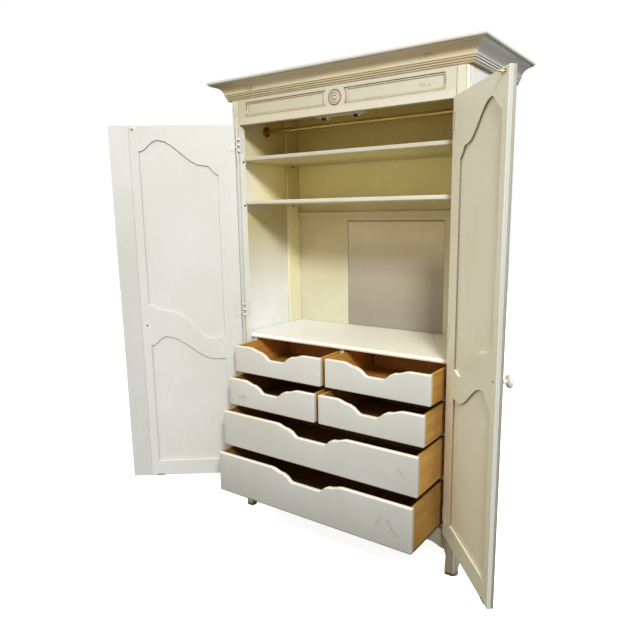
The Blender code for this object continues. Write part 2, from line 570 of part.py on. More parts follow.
# ------------------------------------------------------------ the drawers
def scallop(half, wide):
    """Right half of a drawer front's top edge: (distance from centre, drop)."""
    if wide:
        st = [(0.0, 0.0440), (0.0720, 0.0440), (0.1120, 0.0200), (0.1180, 0.0155), (0.1280, 0.0140), (0.1900, 0.0000), (half, 0.0000)]
    else:
        st = [(0.0, 0.0480), (0.0350, 0.0480), (0.0830, 0.0210), (0.0870, 0.0165), (0.0950, 0.0150), (0.1600, 0.0000), (half, 0.0000)]
    return run(st, 5)


for name, row, x0, x1, out in DRAWERS:
    z0, z1 = ROWS[row]
    slide = bpy.data.objects.new(name + "_slide", None)
    bpy.context.scene.collection.objects.link(slide)
    slide.parent = root
    slide.location = ((x0 + x1) / 2, -out, 0.0)
    hw = (x1 - x0) / 2
    half = scallop(hw, hw > 0.4)
    top = [(x, z1 - d) for x, d in half]
    edge = [(-x, z) for x, z in reversed(top)] + top[1:]
    # the board's two faces are laid in upright strips under the scalloped line
    bm = bmesh.new()
    cols = [[bm.verts.new((x, y, z)) for y, z in ((0.0, z0), (0.0, zt), (FRONT_T, zt), (FRONT_T, z0))] for x, zt in edge]
    for P, Q in zip(cols, cols[1:]):
        strip(bm, P, Q)
    bm.faces.new(cols[0])
    bm.faces.new(cols[-1])
    finish(name + "_front", bm, PAINT_FRONT, slide)
    # open box behind the front: two sides, a back and a bottom, hollowed from above
    ya, yb, hw = FRONT_T + GAP, DRAWER_DEPTH, hw - 0.0002
    case = box(name + "_box", -hw, hw, ya, yb, z0, z1, WOOD, slide)
    hollow = box(name + "_hollow", -hw + WALL_T, hw - WALL_T, ya - 0.01, yb - WALL_T, z0 + 0.0100, z1 + 0.02, WOOD, slide)
    cut(case, hollow)
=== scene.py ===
import json
import math
import bmesh
import bpy
from mathutils import Matrix, Vector

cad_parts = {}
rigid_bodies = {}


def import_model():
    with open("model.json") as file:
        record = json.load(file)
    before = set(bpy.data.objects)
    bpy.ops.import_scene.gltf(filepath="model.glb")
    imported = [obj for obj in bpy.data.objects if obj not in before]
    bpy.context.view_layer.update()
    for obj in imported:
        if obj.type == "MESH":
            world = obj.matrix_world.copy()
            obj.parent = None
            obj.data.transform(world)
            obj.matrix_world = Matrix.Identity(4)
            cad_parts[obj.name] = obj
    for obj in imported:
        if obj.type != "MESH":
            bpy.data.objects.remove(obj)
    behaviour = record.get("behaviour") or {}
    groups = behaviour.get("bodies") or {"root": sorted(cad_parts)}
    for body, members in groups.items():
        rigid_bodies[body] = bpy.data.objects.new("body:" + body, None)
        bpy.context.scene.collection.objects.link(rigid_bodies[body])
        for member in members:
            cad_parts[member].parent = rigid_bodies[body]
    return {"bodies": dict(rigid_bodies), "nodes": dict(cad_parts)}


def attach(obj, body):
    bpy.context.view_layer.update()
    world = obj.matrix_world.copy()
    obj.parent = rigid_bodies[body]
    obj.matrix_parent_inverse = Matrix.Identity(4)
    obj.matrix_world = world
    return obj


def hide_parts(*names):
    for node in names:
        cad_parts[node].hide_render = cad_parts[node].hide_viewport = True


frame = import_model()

BODIES, NODES = frame["bodies"], frame["nodes"]
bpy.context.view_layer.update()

# ------------------------------------------------------------------ frame
OX, OY = 0.05463, -0.05438      # carcass centre line and face-frame plane
ROOT = Matrix.Translation((OX, OY, 0.0))
PIN_X, PIN_Y = 0.5465, -0.0160
OPEN = {"right": math.radians(131.1), "left": math.radians(142.0)}
SIGN = {"right": 1, "left": -1}
DOOR_IN, DOOR_T = 0.0120, 0.0240
BRIGHT = {}


def door_matrix(side):
    """Shut-door coordinates about the pin to the frame."""
    s = SIGN[side]
    return ROOT @ Matrix.Translation((s * PIN_X, PIN_Y, 0)) @ Matrix.Rotation(s * OPEN[side], 4, "Z")


def on_door(side, u, w, z):
    """u from the pin to the free edge, w from the inner face outward, in shut-door coordinates."""
    return Vector((-SIGN[side] * u, DOOR_IN - w, z))

# -------------------------------------------------------------- materials
class Tree:
    """Small helper that adds and links shader nodes."""

    def __init__(self, name):
        self.m = bpy.data.materials.new(name)
        self.m.use_nodes = True
        self.t = self.m.node_tree
        self.t.nodes.clear()
        self.out = self.t.nodes.new("ShaderNodeOutputMaterial")
        self.b = self.t.nodes.new("ShaderNodeBsdfPrincipled")
        self.t.links.new(self.b.outputs[0], self.out.inputs[0])
        self.tc = self.t.nodes.new("ShaderNodeTexCoord")

    def link(self, a, b):
        self.t.links.new(a, b)

    def put(self, socket, value):
        if isinstance(value, bpy.types.NodeSocket):
            self.link(value, socket)
        else:
            socket.default_value = value

    def scaled(self, scale, rot=(0, 0, 0)):
        m = self.t.nodes.new("ShaderNodeMapping")
        m.inputs["Scale"].default_value = scale
        m.inputs["Rotation"].default_value = rot
        self.link(self.tc.outputs["Object"], m.inputs["Vector"])
        return m.outputs[0]

    def noise(self, scale, detail=3.0, rough=0.55, vec=(1, 1, 1), distort=0.0):
        n = self.t.nodes.new("ShaderNodeTexNoise")
        n.inputs["Scale"].default_value = scale
        n.inputs["Detail"].default_value = detail
        n.inputs["Roughness"].default_value = rough
        n.inputs["Distortion"].default_value = distort
        self.link(self.scaled(vec), n.inputs["Vector"])
        return n.outputs["Fac"]

    def ramp(self, fac, stops, smooth=False):
        r = self.t.nodes.new("ShaderNodeValToRGB")
        r.color_ramp.interpolation = "EASE" if smooth else "LINEAR"
        e = r.color_ramp.elements
        while len(e) > 1:
            e.remove(e[-1])
        for i, (p, c) in enumerate(stops):
            el = e[0] if i == 0 else e.new(p)
            el.position = p
            el.color = (c, c, c, 1) if isinstance(c, (int, float)) else (*c, 1)
        self.link(fac, r.inputs[0])
        return r.outputs[0]

    def math(self, op, a, b=0.0, clamp=False):
        n = self.t.nodes.new("ShaderNodeMath")
        n.operation = op
        n.use_clamp = clamp
        self.put(n.inputs[0], a)
        self.put(n.inputs[1], b)
        return n.outputs[0]

    def mix(self, fac, a, b, blend="MIX"):
        n = self.t.nodes.new("ShaderNodeMix")
        n.data_type = "RGBA"
        n.blend_type = blend
        self.put(n.inputs[0], fac)
        for s, v in ((n.inputs[6], a), (n.inputs[7], b)):
            self.put(s, v if isinstance(v, bpy.types.NodeSocket) else (*v, 1) if len(v) == 3 else v)
        return n.outputs[2]

    def ao(self, distance, samples=6):
        n = self.t.nodes.new("ShaderNodeAmbientOcclusion")
        n.samples = samples
        n.inputs["Distance"].default_value = distance
        return n.outputs["AO"]

    def edge(self, radius):
        """1 along convex and concave edges, 0 on flats."""
        bev = self.t.nodes.new("ShaderNodeBevel")
        bev.samples = 4
        bev.inputs["Radius"].default_value = radius
        geo = self.t.nodes.new("ShaderNodeNewGeometry")
        d = self.t.nodes.new("ShaderNodeVectorMath")
        d.operation = "DOT_PRODUCT"
        self.link(bev.outputs[0], d.inputs[0])
        self.link(geo.outputs["Normal"], d.inputs[1])
        return self.ramp(self.math("SUBTRACT", 1.0, d.outputs["Value"]), ((0.02, 0.0), (0.20, 1.0)))

    def axis(self, k):
        n = self.t.nodes.new("ShaderNodeSeparateXYZ")
        self.link(self.tc.outputs["Object"], n.inputs[0])
        return n.outputs[k]

    def bump(self, height, strength, distance):
        n = self.t.nodes.new("ShaderNodeBump")
        n.inputs["Strength"].default_value = strength
        n.inputs["Distance"].default_value = distance
        self.link(height, n.inputs["Height"])
        self.link(n.outputs[0], self.b.inputs["Normal"])


def mul(c, k):
    return tuple(min(1.0, x * y) for x, y in zip(c, k if isinstance(k, tuple) else (k, k, k)))


GLAZE = (0.135, 0.095, 0.035)


def paint(name, base, glaze=GLAZE, along="z", crevice_glaze_and_shade=0.55, reach=0.010, wear=0.35, rough=0.42, mottle=0.07, lines=None, zones=(), corners=(0.22, 0.80)):
    """Brushed cream paint over a dark glaze: mottling, brush marks, glaze left in corners that also paints the shade
    falling there, rubbed edges.
    """
    t = Tree(name)
    stretch = {"x": (0.03, 1, 1), "y": (1, 0.03, 1), "z": (1, 1, 0.03)}[along]
    cloud = t.ramp(t.noise(3.2, 4.0), ((0.30, 0.0), (0.72, 1.0)))
    brush = t.ramp(t.noise(260.0, 3.0, 0.6, stretch), ((0.32, 0.0), (0.70, 1.0)))
    col = base(t) if callable(base) else base
    for zone, tone in zones:
        col = t.mix(zone(t), col, tone(t) if callable(tone) else tone)
    col = t.mix(cloud, col, (1 - mottle, 1 - mottle * 1.15, 1 - mottle * 1.9), "MULTIPLY")
    col = t.mix(t.math("MULTIPLY", brush, 0.30), col, (0.90, 0.88, 0.82), "MULTIPLY")
    speck = t.ramp(t.noise(420.0, 2.0, 0.5), ((0.765, 0.0), (0.80, 1.0)))
    col = t.mix(t.math("MULTIPLY", speck, 0.35), col, mul(glaze, 2.0))
    if lines is not None:
        col = t.mix(lines(t), col, glaze)
    # glaze left in corners and recesses, found by ambient occlusion, so this also paints the shade that falls there
    corner = t.math("SUBTRACT", 1.0, t.ao(reach))
    corner = t.ramp(corner, ((corners[0], 0.0), (corners[1], 1.0)))
    rub = t.ramp(t.noise(34.0, 4.0, 0.65), ((0.35, 0.45), (0.65, 1.0)))
    col = t.mix(t.math("MULTIPLY", t.math("MULTIPLY", corner, rub), crevice_glaze_and_shade), col, glaze)
    if wear:
        worn = t.ramp(t.noise(55.0, 5.0, 0.7), ((0.50, 0.0), (0.66, 1.0)))
        col = t.mix(t.math("MULTIPLY", t.math("MULTIPLY", t.edge(0.0016), worn), wear), col, mul(glaze, 1.8))
    t.link(col, t.b.inputs["Base Color"])
    r = t.math("ADD", rough - 0.05, t.math("MULTIPLY", t.noise(18.0, 3.0), 0.14))
    t.link(r, t.b.inputs["Roughness"])
    h = t.math("ADD", t.math("MULTIPLY", brush, 0.6), t.math("MULTIPLY", t.noise(650.0, 2.0), 0.5))
    t.bump(h, 0.16, 0.0006)
    return t.m


def by_height(*stops):
    """Colour that changes with height: (metres, colour) pairs."""
    return lambda t: t.ramp(t.math("DIVIDE", t.axis(2), 2.13), [(z / 2.13, c) for z, c in stops])


def across(base, *stops):
    """base times a tone that changes across the carcass, x from -0.5 m (0) to 0.5 m (1) about its centre."""
    def make(t):
        f = t.math("ADD", t.math("SUBTRACT", t.axis(0), OX), 0.5, clamp=True)
        return t.mix(1.0, base(t) if callable(base) else base, t.ramp(f, stops), "MULTIPLY")
    return make


def lit_upper_wall_front(t):
    """The fronts of the upper bays' left wall, painted paler where the light falls in (painted light)."""
    near = t.ramp(t.math("SUBTRACT", t.axis(1), OY), ((0.05, 1.0), (0.26, 0.0)))
    high = t.ramp(t.math("DIVIDE", t.axis(2), 2.13), ((1.50 / 2.13, 0.0), (1.58 / 2.13, 0.95)))
    return t.math("MULTIPLY", t.math("MULTIPLY", near, facing(0, 1)(t)), high)


def wood(name, light, dark, along="y", rough=0.5, corner_shade=0.35, shade=0.0, inside=None, foot_shadow=None):
    """Clear-finished board: long grain, growth bands, pores; inside = (centre x, half width, top, tone) darkens a
    box's inner faces by tone, as painted shade; the options for the bottom edge and the depth paint a shadow band
    there and shade deep inside the box.
    """
    t = Tree(name)
    s = {"x": (0.045, 1, 1), "y": (1, 0.045, 1), "z": (1, 1, 0.045)}[along]
    bands = t.ramp(t.noise(55.0, 3.0, 0.55, s, 0.6), ((0.30, 0.0), (0.68, 1.0)))
    fine = t.ramp(t.noise(420.0, 3.0, 0.6, s), ((0.36, 0.0), (0.66, 1.0)))
    cloud = t.ramp(t.noise(4.0, 3.0), ((0.30, 0.0), (0.70, 1.0)))
    col = t.mix(bands, light, dark)
    col = t.mix(t.math("MULTIPLY", fine, 0.35), col, mul(dark, 0.72))
    col = t.mix(t.math("MULTIPLY", cloud, 0.30), col, mul(light, (0.80, 0.72, 0.60)))
    # painted shade: darker in the corners, found by ambient occlusion
    corner = t.ramp(t.math("SUBTRACT", 1.0, t.ao(0.03)), ((0.35, 0.0), (1.0, 1.0)))
    col = t.mix(t.math("MULTIPLY", corner, corner_shade), col, mul(dark, 0.35))
    # painted shade on the box's inner faces
    if inside:
        cx, hw, zt, tone = inside
        d = t.math("ABSOLUTE", t.math("SUBTRACT", t.axis(0), cx))
        within = t.math("MULTIPLY", t.math("LESS_THAN", d, hw), t.math("LESS_THAN", t.axis(2), zt))
        col = t.mix(within, col, tone, "MULTIPLY")
    # painted shadow: a dark band just above the bottom edge of the box
    if foot_shadow:
        low = t.ramp(t.math("SUBTRACT", t.axis(2), foot_shadow), ((0.004, 1.0), (0.011, 0.0)))
        col = t.mix(low, col, (0.12, 0.08, 0.05), "MULTIPLY")
    # painted shade deep inside the box, found by ambient occlusion
    if shade:
        deep = t.ramp(t.math("SUBTRACT", 1.0, t.ao(0.22, 8)), ((0.62, 0.0), (0.90, 1.0)))
        col = t.mix(t.math("MULTIPLY", deep, shade), col, (0.30, 0.17, 0.10), "MULTIPLY")
    t.link(col, t.b.inputs["Base Color"])
    t.link(t.math("ADD", rough - 0.06, t.math("MULTIPLY", fine, 0.14)), t.b.inputs["Roughness"])
    t.bump(fine, 0.20, 0.0005)
    return t.m


def metal(name, base, rough, dark=0.4, metallic=1.0, scale=60.0):
    """Aged metal: tarnish clouds, fine scratches, painted shade darkening the corners."""
    t = Tree(name)
    cloud = t.ramp(t.noise(scale, 4.0, 0.6), ((0.35, 0.0), (0.70, 1.0)))
    col = t.mix(cloud, base, mul(base, dark))
    # painted shade: near black in the corners, found by ambient occlusion
    corner = t.ramp(t.math("SUBTRACT", 1.0, t.ao(0.004)), ((0.3, 0.0), (1.0, 1.0)))
    col = t.mix(t.math("MULTIPLY", corner, 0.7), col, (0.02, 0.015, 0.008))
    t.link(col, t.b.inputs["Base Color"])
    t.b.inputs["Metallic"].default_value = metallic
    t.link(t.math("ADD", rough, t.math("MULTIPLY", cloud, 0.22)), t.b.inputs["Roughness"])
    t.bump(t.noise(900.0, 2.0), 0.08, 0.0003)
    return t.m


def band_lines(heights, half):
    """Dark lines that run level round the piece, at these heights (metres), half metres to each side: glaze in the
    crown's quirks, painted shadow along the drawer fronts' bottom edges.
    """
    def make(t):
        z = t.axis(2)
        total = None
        for h, k in heights:
            d = t.math("ABSOLUTE", t.math("SUBTRACT", z, h))
            v = t.math("SUBTRACT", 1.0, t.math("DIVIDE", d, half), clamp=True)
            v = t.math("MULTIPLY", v, k)
            total = v if total is None else t.math("MAXIMUM", total, v)
        return t.math("MULTIPLY", total, t.ramp(t.noise(30.0, 4.0), ((0.30, 0.70), (0.60, 1.0))), clamp=True)
    return make


def facing(k, sign, lo=0.35, hi=0.75):
    """1 on faces whose normal looks along the axis k with this sign."""
    def make(t):
        sep = t.t.nodes.new("ShaderNodeSeparateXYZ")
        t.link(t.tc.outputs["Normal"], sep.inputs[0])
        v = t.math("ABSOLUTE", sep.outputs[k]) if sign == 0 else t.math("MULTIPLY", sep.outputs[k], float(sign))
        return t.ramp(v, ((lo, 0.0), (hi, 1.0)))
    return make


def toward(side, local, lo=0.80, hi=0.95):
    """1 on a door's faces that look along this direction, given with the door shut."""
    d = (door_matrix(side).to_3x3() @ Vector(local)).normalized()
    def make(t):
        n = t.t.nodes.new("ShaderNodeVectorMath")
        n.operation = "DOT_PRODUCT"
        t.link(t.tc.outputs["Normal"], n.inputs[0])
        n.inputs[1].default_value = d
        return t.ramp(n.outputs["Value"], ((lo, 0.0), (hi, 1.0)))
    return make


def door_u(t, side):
    """Distance from the pin towards the free edge, and depth from the inner face outward."""
    m = door_matrix(side).inverted()
    out = []
    for row, k, off in ((0, -SIGN[side], 0.0), (1, -1.0, DOOR_IN)):
        n = t.t.nodes.new("ShaderNodeVectorMath")
        n.operation = "DOT_PRODUCT"
        t.link(t.tc.outputs["Object"], n.inputs[0])
        n.inputs[1].default_value = (m[row][0] * k, m[row][1] * k, m[row][2] * k)
        out.append(t.math("ADD", n.outputs["Value"], m[row][3] * k + off))
    return out


def recess_shadow_walls(side):
    """1 on the upright walls of the panel recesses, 0 on the door's outer edges; the doors darken their paint there as
    painted shadow.
    """
    def make(t):
        u, w = door_u(t, side)
        inside = t.math("MULTIPLY", t.math("GREATER_THAN", u, 0.030), t.math("LESS_THAN", u, 0.470))
        across = t.math("MAXIMUM", toward(side, (1, 0, 0), 0.55, 0.80)(t), toward(side, (-1, 0, 0), 0.55, 0.80)(t))
        down = facing(2, -1, 0.20, 0.55)(t)
        high = t.math("MULTIPLY", t.math("GREATER_THAN", t.axis(2), 0.24), t.math("LESS_THAN", t.axis(2), 1.90))
        return t.math("MULTIPLY", t.math("MAXIMUM", across, down), t.math("MULTIPLY", inside, high))
    return make


def recess_sill_highlight(side):
    """1 on the upward-facing lower edges of the panel recesses, painted pale as a painted highlight."""
    def make(t):
        u, w = door_u(t, side)
        inside = t.math("MULTIPLY", t.math("GREATER_THAN", u, 0.030), t.math("LESS_THAN", u, 0.470))
        high = t.math("MULTIPLY", t.math("GREATER_THAN", t.axis(2), 0.24), t.math("LESS_THAN", t.axis(2), 1.90))
        return t.math("MULTIPLY", facing(2, 1, 0.20, 0.55)(t), t.math("MULTIPLY", inside, high))
    return make


def hinge_edge(side):
    """1 on the door's edge beside the pins."""
    def make(t):
        u, w = door_u(t, side)
        return t.math("MULTIPLY", t.math("LESS_THAN", u, 0.020), toward(side, (SIGN[side], 0, 0), 0.5, 0.8)(t))
    return make


def free_edge_shade_line(side, w0, half):
    """A dark line down the door's free edge at depth w0: painted shade of the rebate along that edge."""
    def make(t):
        u, w = door_u(t, side)
        d = t.math("ABSOLUTE", t.math("SUBTRACT", w, w0))
        line = t.ramp(t.math("DIVIDE", d, half), ((0.75, 1.0), (1.0, 0.0)))
        return t.math("MULTIPLY", t.math("MULTIPLY", line, t.math("GREATER_THAN", u, 0.480)), toward(side, (-SIGN[side], 0, 0), 0.3, 0.6)(t))
    return make


def either(*makes):
    def make(t):
        total = None
        for one in makes:
            v = one(t)
            total = v if total is None else t.math("MAXIMUM", total, v)
        return total
    return make


def motif(x, z, rx, rz, scale=95.0, amount=0.7):
    """Small worn painted mark on a front face: broken strokes inside an ellipse (frame x and z)."""
    def make(t):
        dx = t.math("DIVIDE", t.math("SUBTRACT", t.axis(0), x), rx)
        dz = t.math("DIVIDE", t.math("SUBTRACT", t.axis(2), z), rz)
        r = t.math("ADD", t.math("MULTIPLY", dx, dx), t.math("MULTIPLY", dz, dz))
        inside = t.ramp(r, ((0.35, 1.0), (1.0, 0.0)))
        strokes = t.ramp(t.noise(scale, 2.0, 0.5, (1, 1, 0.7), 1.6), ((0.50, 0.0), (0.56, 1.0)))
        return t.math("MULTIPLY", t.math("MULTIPLY", inside, strokes), t.math("MULTIPLY", facing(1, -1, 0.2, 0.4)(t), amount))
    return make


def frieze_frames(t):
    """Glaze round the two sunk panels of the frieze."""
    dx, z = t.math("ABSOLUTE", t.math("SUBTRACT", t.axis(0), OX)), t.axis(2)
    def line(v, at, half):
        return t.ramp(t.math("DIVIDE", t.math("ABSOLUTE", t.math("SUBTRACT", v, at)), half), ((0.40, 1.0), (1.0, 0.0)))
    def between(v, a, b):
        return t.math("MULTIPLY", t.math("GREATER_THAN", v, a), t.math("LESS_THAN", v, b))
    dz = t.math("SUBTRACT", z, BOSS_Z)
    r = t.math("SQRT", t.math("ADD", t.math("MULTIPLY", dx, dx), t.math("MULTIPLY", dz, dz)))
    total = None
    for inset, half, k in ((0.0010, 0.0022, 0.75), (0.0088, 0.0020, 0.60)):
        level = t.math("MAXIMUM", line(z, 1.9680 + inset, half), line(z, 2.0310 - inset, half))
        level = t.math("MULTIPLY", level, t.math("MULTIPLY", t.math("GREATER_THAN", r, 0.056 + inset), t.math("LESS_THAN", dx, 0.4960 - inset)))
        upright = t.math("MULTIPLY", t.math("MAXIMUM", line(dx, 0.4940 - inset, half * 1.3), line(r, 0.056 + inset, half)), between(z, 1.9680 + inset, 2.0310 - inset))
        v = t.math("MULTIPLY", t.math("MAXIMUM", level, upright), k)
        total = v if total is None else t.math("MAXIMUM", total, v)
    return t.math("MULTIPLY", t.math("MULTIPLY", total, facing(1, -1, 0.05, 0.2)(t)), t.ramp(t.noise(22.0, 4.0), ((0.30, 0.55), (0.62, 1.0))))


def upright_lines(t):
    """Glaze down the joints of the front posts: full strength beside the frieze, faint below."""
    dx = t.math("ABSOLUTE", t.math("SUBTRACT", t.axis(0), OX))
    total = None
    for at, half, k in ((0.5400, 0.0026, 0.85), (0.5885, 0.0030, 0.60)):
        v = t.ramp(t.math("DIVIDE", t.math("ABSOLUTE", t.math("SUBTRACT", dx, at)), half), ((0.35, k), (1.0, 0.0)))
        total = v if total is None else t.math("MAXIMUM", total, v)
    level = t.ramp(t.math("DIVIDE", t.axis(2), 2.13), ((1.90 / 2.13, 0.40), (1.945 / 2.13, 1.0)))
    worn = t.ramp(t.noise(26.0, 4.0), ((0.30, 0.35), (0.62, 1.0)))
    total = t.math("MULTIPLY", total, t.math("MULTIPLY", level, worn))
    # behind the hinge knuckles the glaze was wiped into a broad pale stripe
    stripe = t.ramp(t.math("DIVIDE", t.math("ABSOLUTE", t.math("SUBTRACT", dx, 0.5458)), 0.0036), ((0.55, 0.42), (1.0, 0.0)))
    stripe = t.math("MULTIPLY", stripe, t.math("LESS_THAN", t.axis(2), 1.925))
    return t.math("MULTIPLY", t.math("MAXIMUM", total, stripe), facing(1, -1, 0.3, 0.6)(t))


def rings_at(x, z, radii):
    """Glaze rings round a point of the front face (frame x and z), at these radii."""
    def make(t):
        dx, dz = t.math("SUBTRACT", t.axis(0), x), t.math("SUBTRACT", t.axis(2), z)
        r = t.math("SQRT", t.math("ADD", t.math("MULTIPLY", dx, dx), t.math("MULTIPLY", dz, dz)))
        total = None
        for radius, half, k in radii:
            d = t.math("ABSOLUTE", t.math("SUBTRACT", r, radius))
            v = t.math("MULTIPLY", t.ramp(t.math("DIVIDE", d, half), ((0.45, 1.0), (1.0, 0.0))), k)
            total = v if total is None else t.math("MAXIMUM", total, v)
        return t.math("MULTIPLY", total, facing(1, -1, 0.2, 0.4)(t))
    return make


def above(z):
    return lambda t: t.math("GREATER_THAN", t.axis(2), z)


def low_down(top, bottom=0.0, strength=1.0):
    """Darkening towards the floor in noisy patches: strength at the bottom, 0 from top upward (metres)."""
    def make(t):
        v = t.math("DIVIDE", t.math("SUBTRACT", top, t.axis(2)), top - bottom, clamp=True)
        patch = t.ramp(t.noise(14.0, 4.0, 0.6), ((0.25, 0.65), (0.65, 1.0)))
        return t.math("MULTIPLY", t.math("MULTIPLY", v, patch), strength)
    return make


BROWN = (0.215, 0.150, 0.060)      # thin glaze on the frieze and the crown
# near black used as painted shade: undersides of the drawer fronts and the very bottom of the feet
SHADE_BLACK = (0.060, 0.045, 0.022)
# FEET: darker towards the floor below 0.3 m, partly dirt and partly painted shade; SOLE: the bottom centimetre painted
# near black as shade where the feet meet the floor
FEET = (low_down(0.30, 0.02, 0.75), (0.30, 0.265, 0.20))
SOLE = (low_down(0.017, 0.009, 1.0), SHADE_BLACK)
MARK = (0.17, 0.165, 0.13)
GREY_TOP = max((NODES["rear_access_panel"].matrix_world @ v.co).z for v in NODES["rear_access_panel"].data.vertices)
BOSS_Z = 1.9970
OUTSIDE = (0.775, 0.785, 0.79)
# inside tones by height: painted light and shade of the bays, darker and yellower in the shade under the shelves and
# high up, brighter where light falls on the lower walls and between the shelves
BACK_LIGHT_AND_SHADE = by_height((1.05, (0.62, 0.60, 0.47)), (1.30, (0.64, 0.575, 0.40)), (1.56, (0.76, 0.66, 0.40)), (1.585, (1.0, 0.93, 0.52)),
                      (1.76, (1.0, 0.93, 0.52)), (1.79, (0.80, 0.66, 0.27)))
POST_LIGHT_AND_SHADE = by_height((0.10, (0.62, 0.60, 0.50)), (1.05, (0.74, 0.72, 0.55)), (1.35, (0.88, 0.80, 0.50)), (1.56, (0.90, 0.81, 0.49)), (1.79, (0.76, 0.63, 0.30)))
WALL_LIGHT_AND_SHADE = by_height((0.20, (0.70, 0.71, 0.70)), (1.12, (0.76, 0.775, 0.79)), (1.48, (0.55, 0.49, 0.27)), (1.56, (0.58, 0.52, 0.29)), (1.585, (0.86, 0.78, 0.48)),
                      (1.76, (0.94, 0.85, 0.52)), (1.79, (0.68, 0.57, 0.26)))
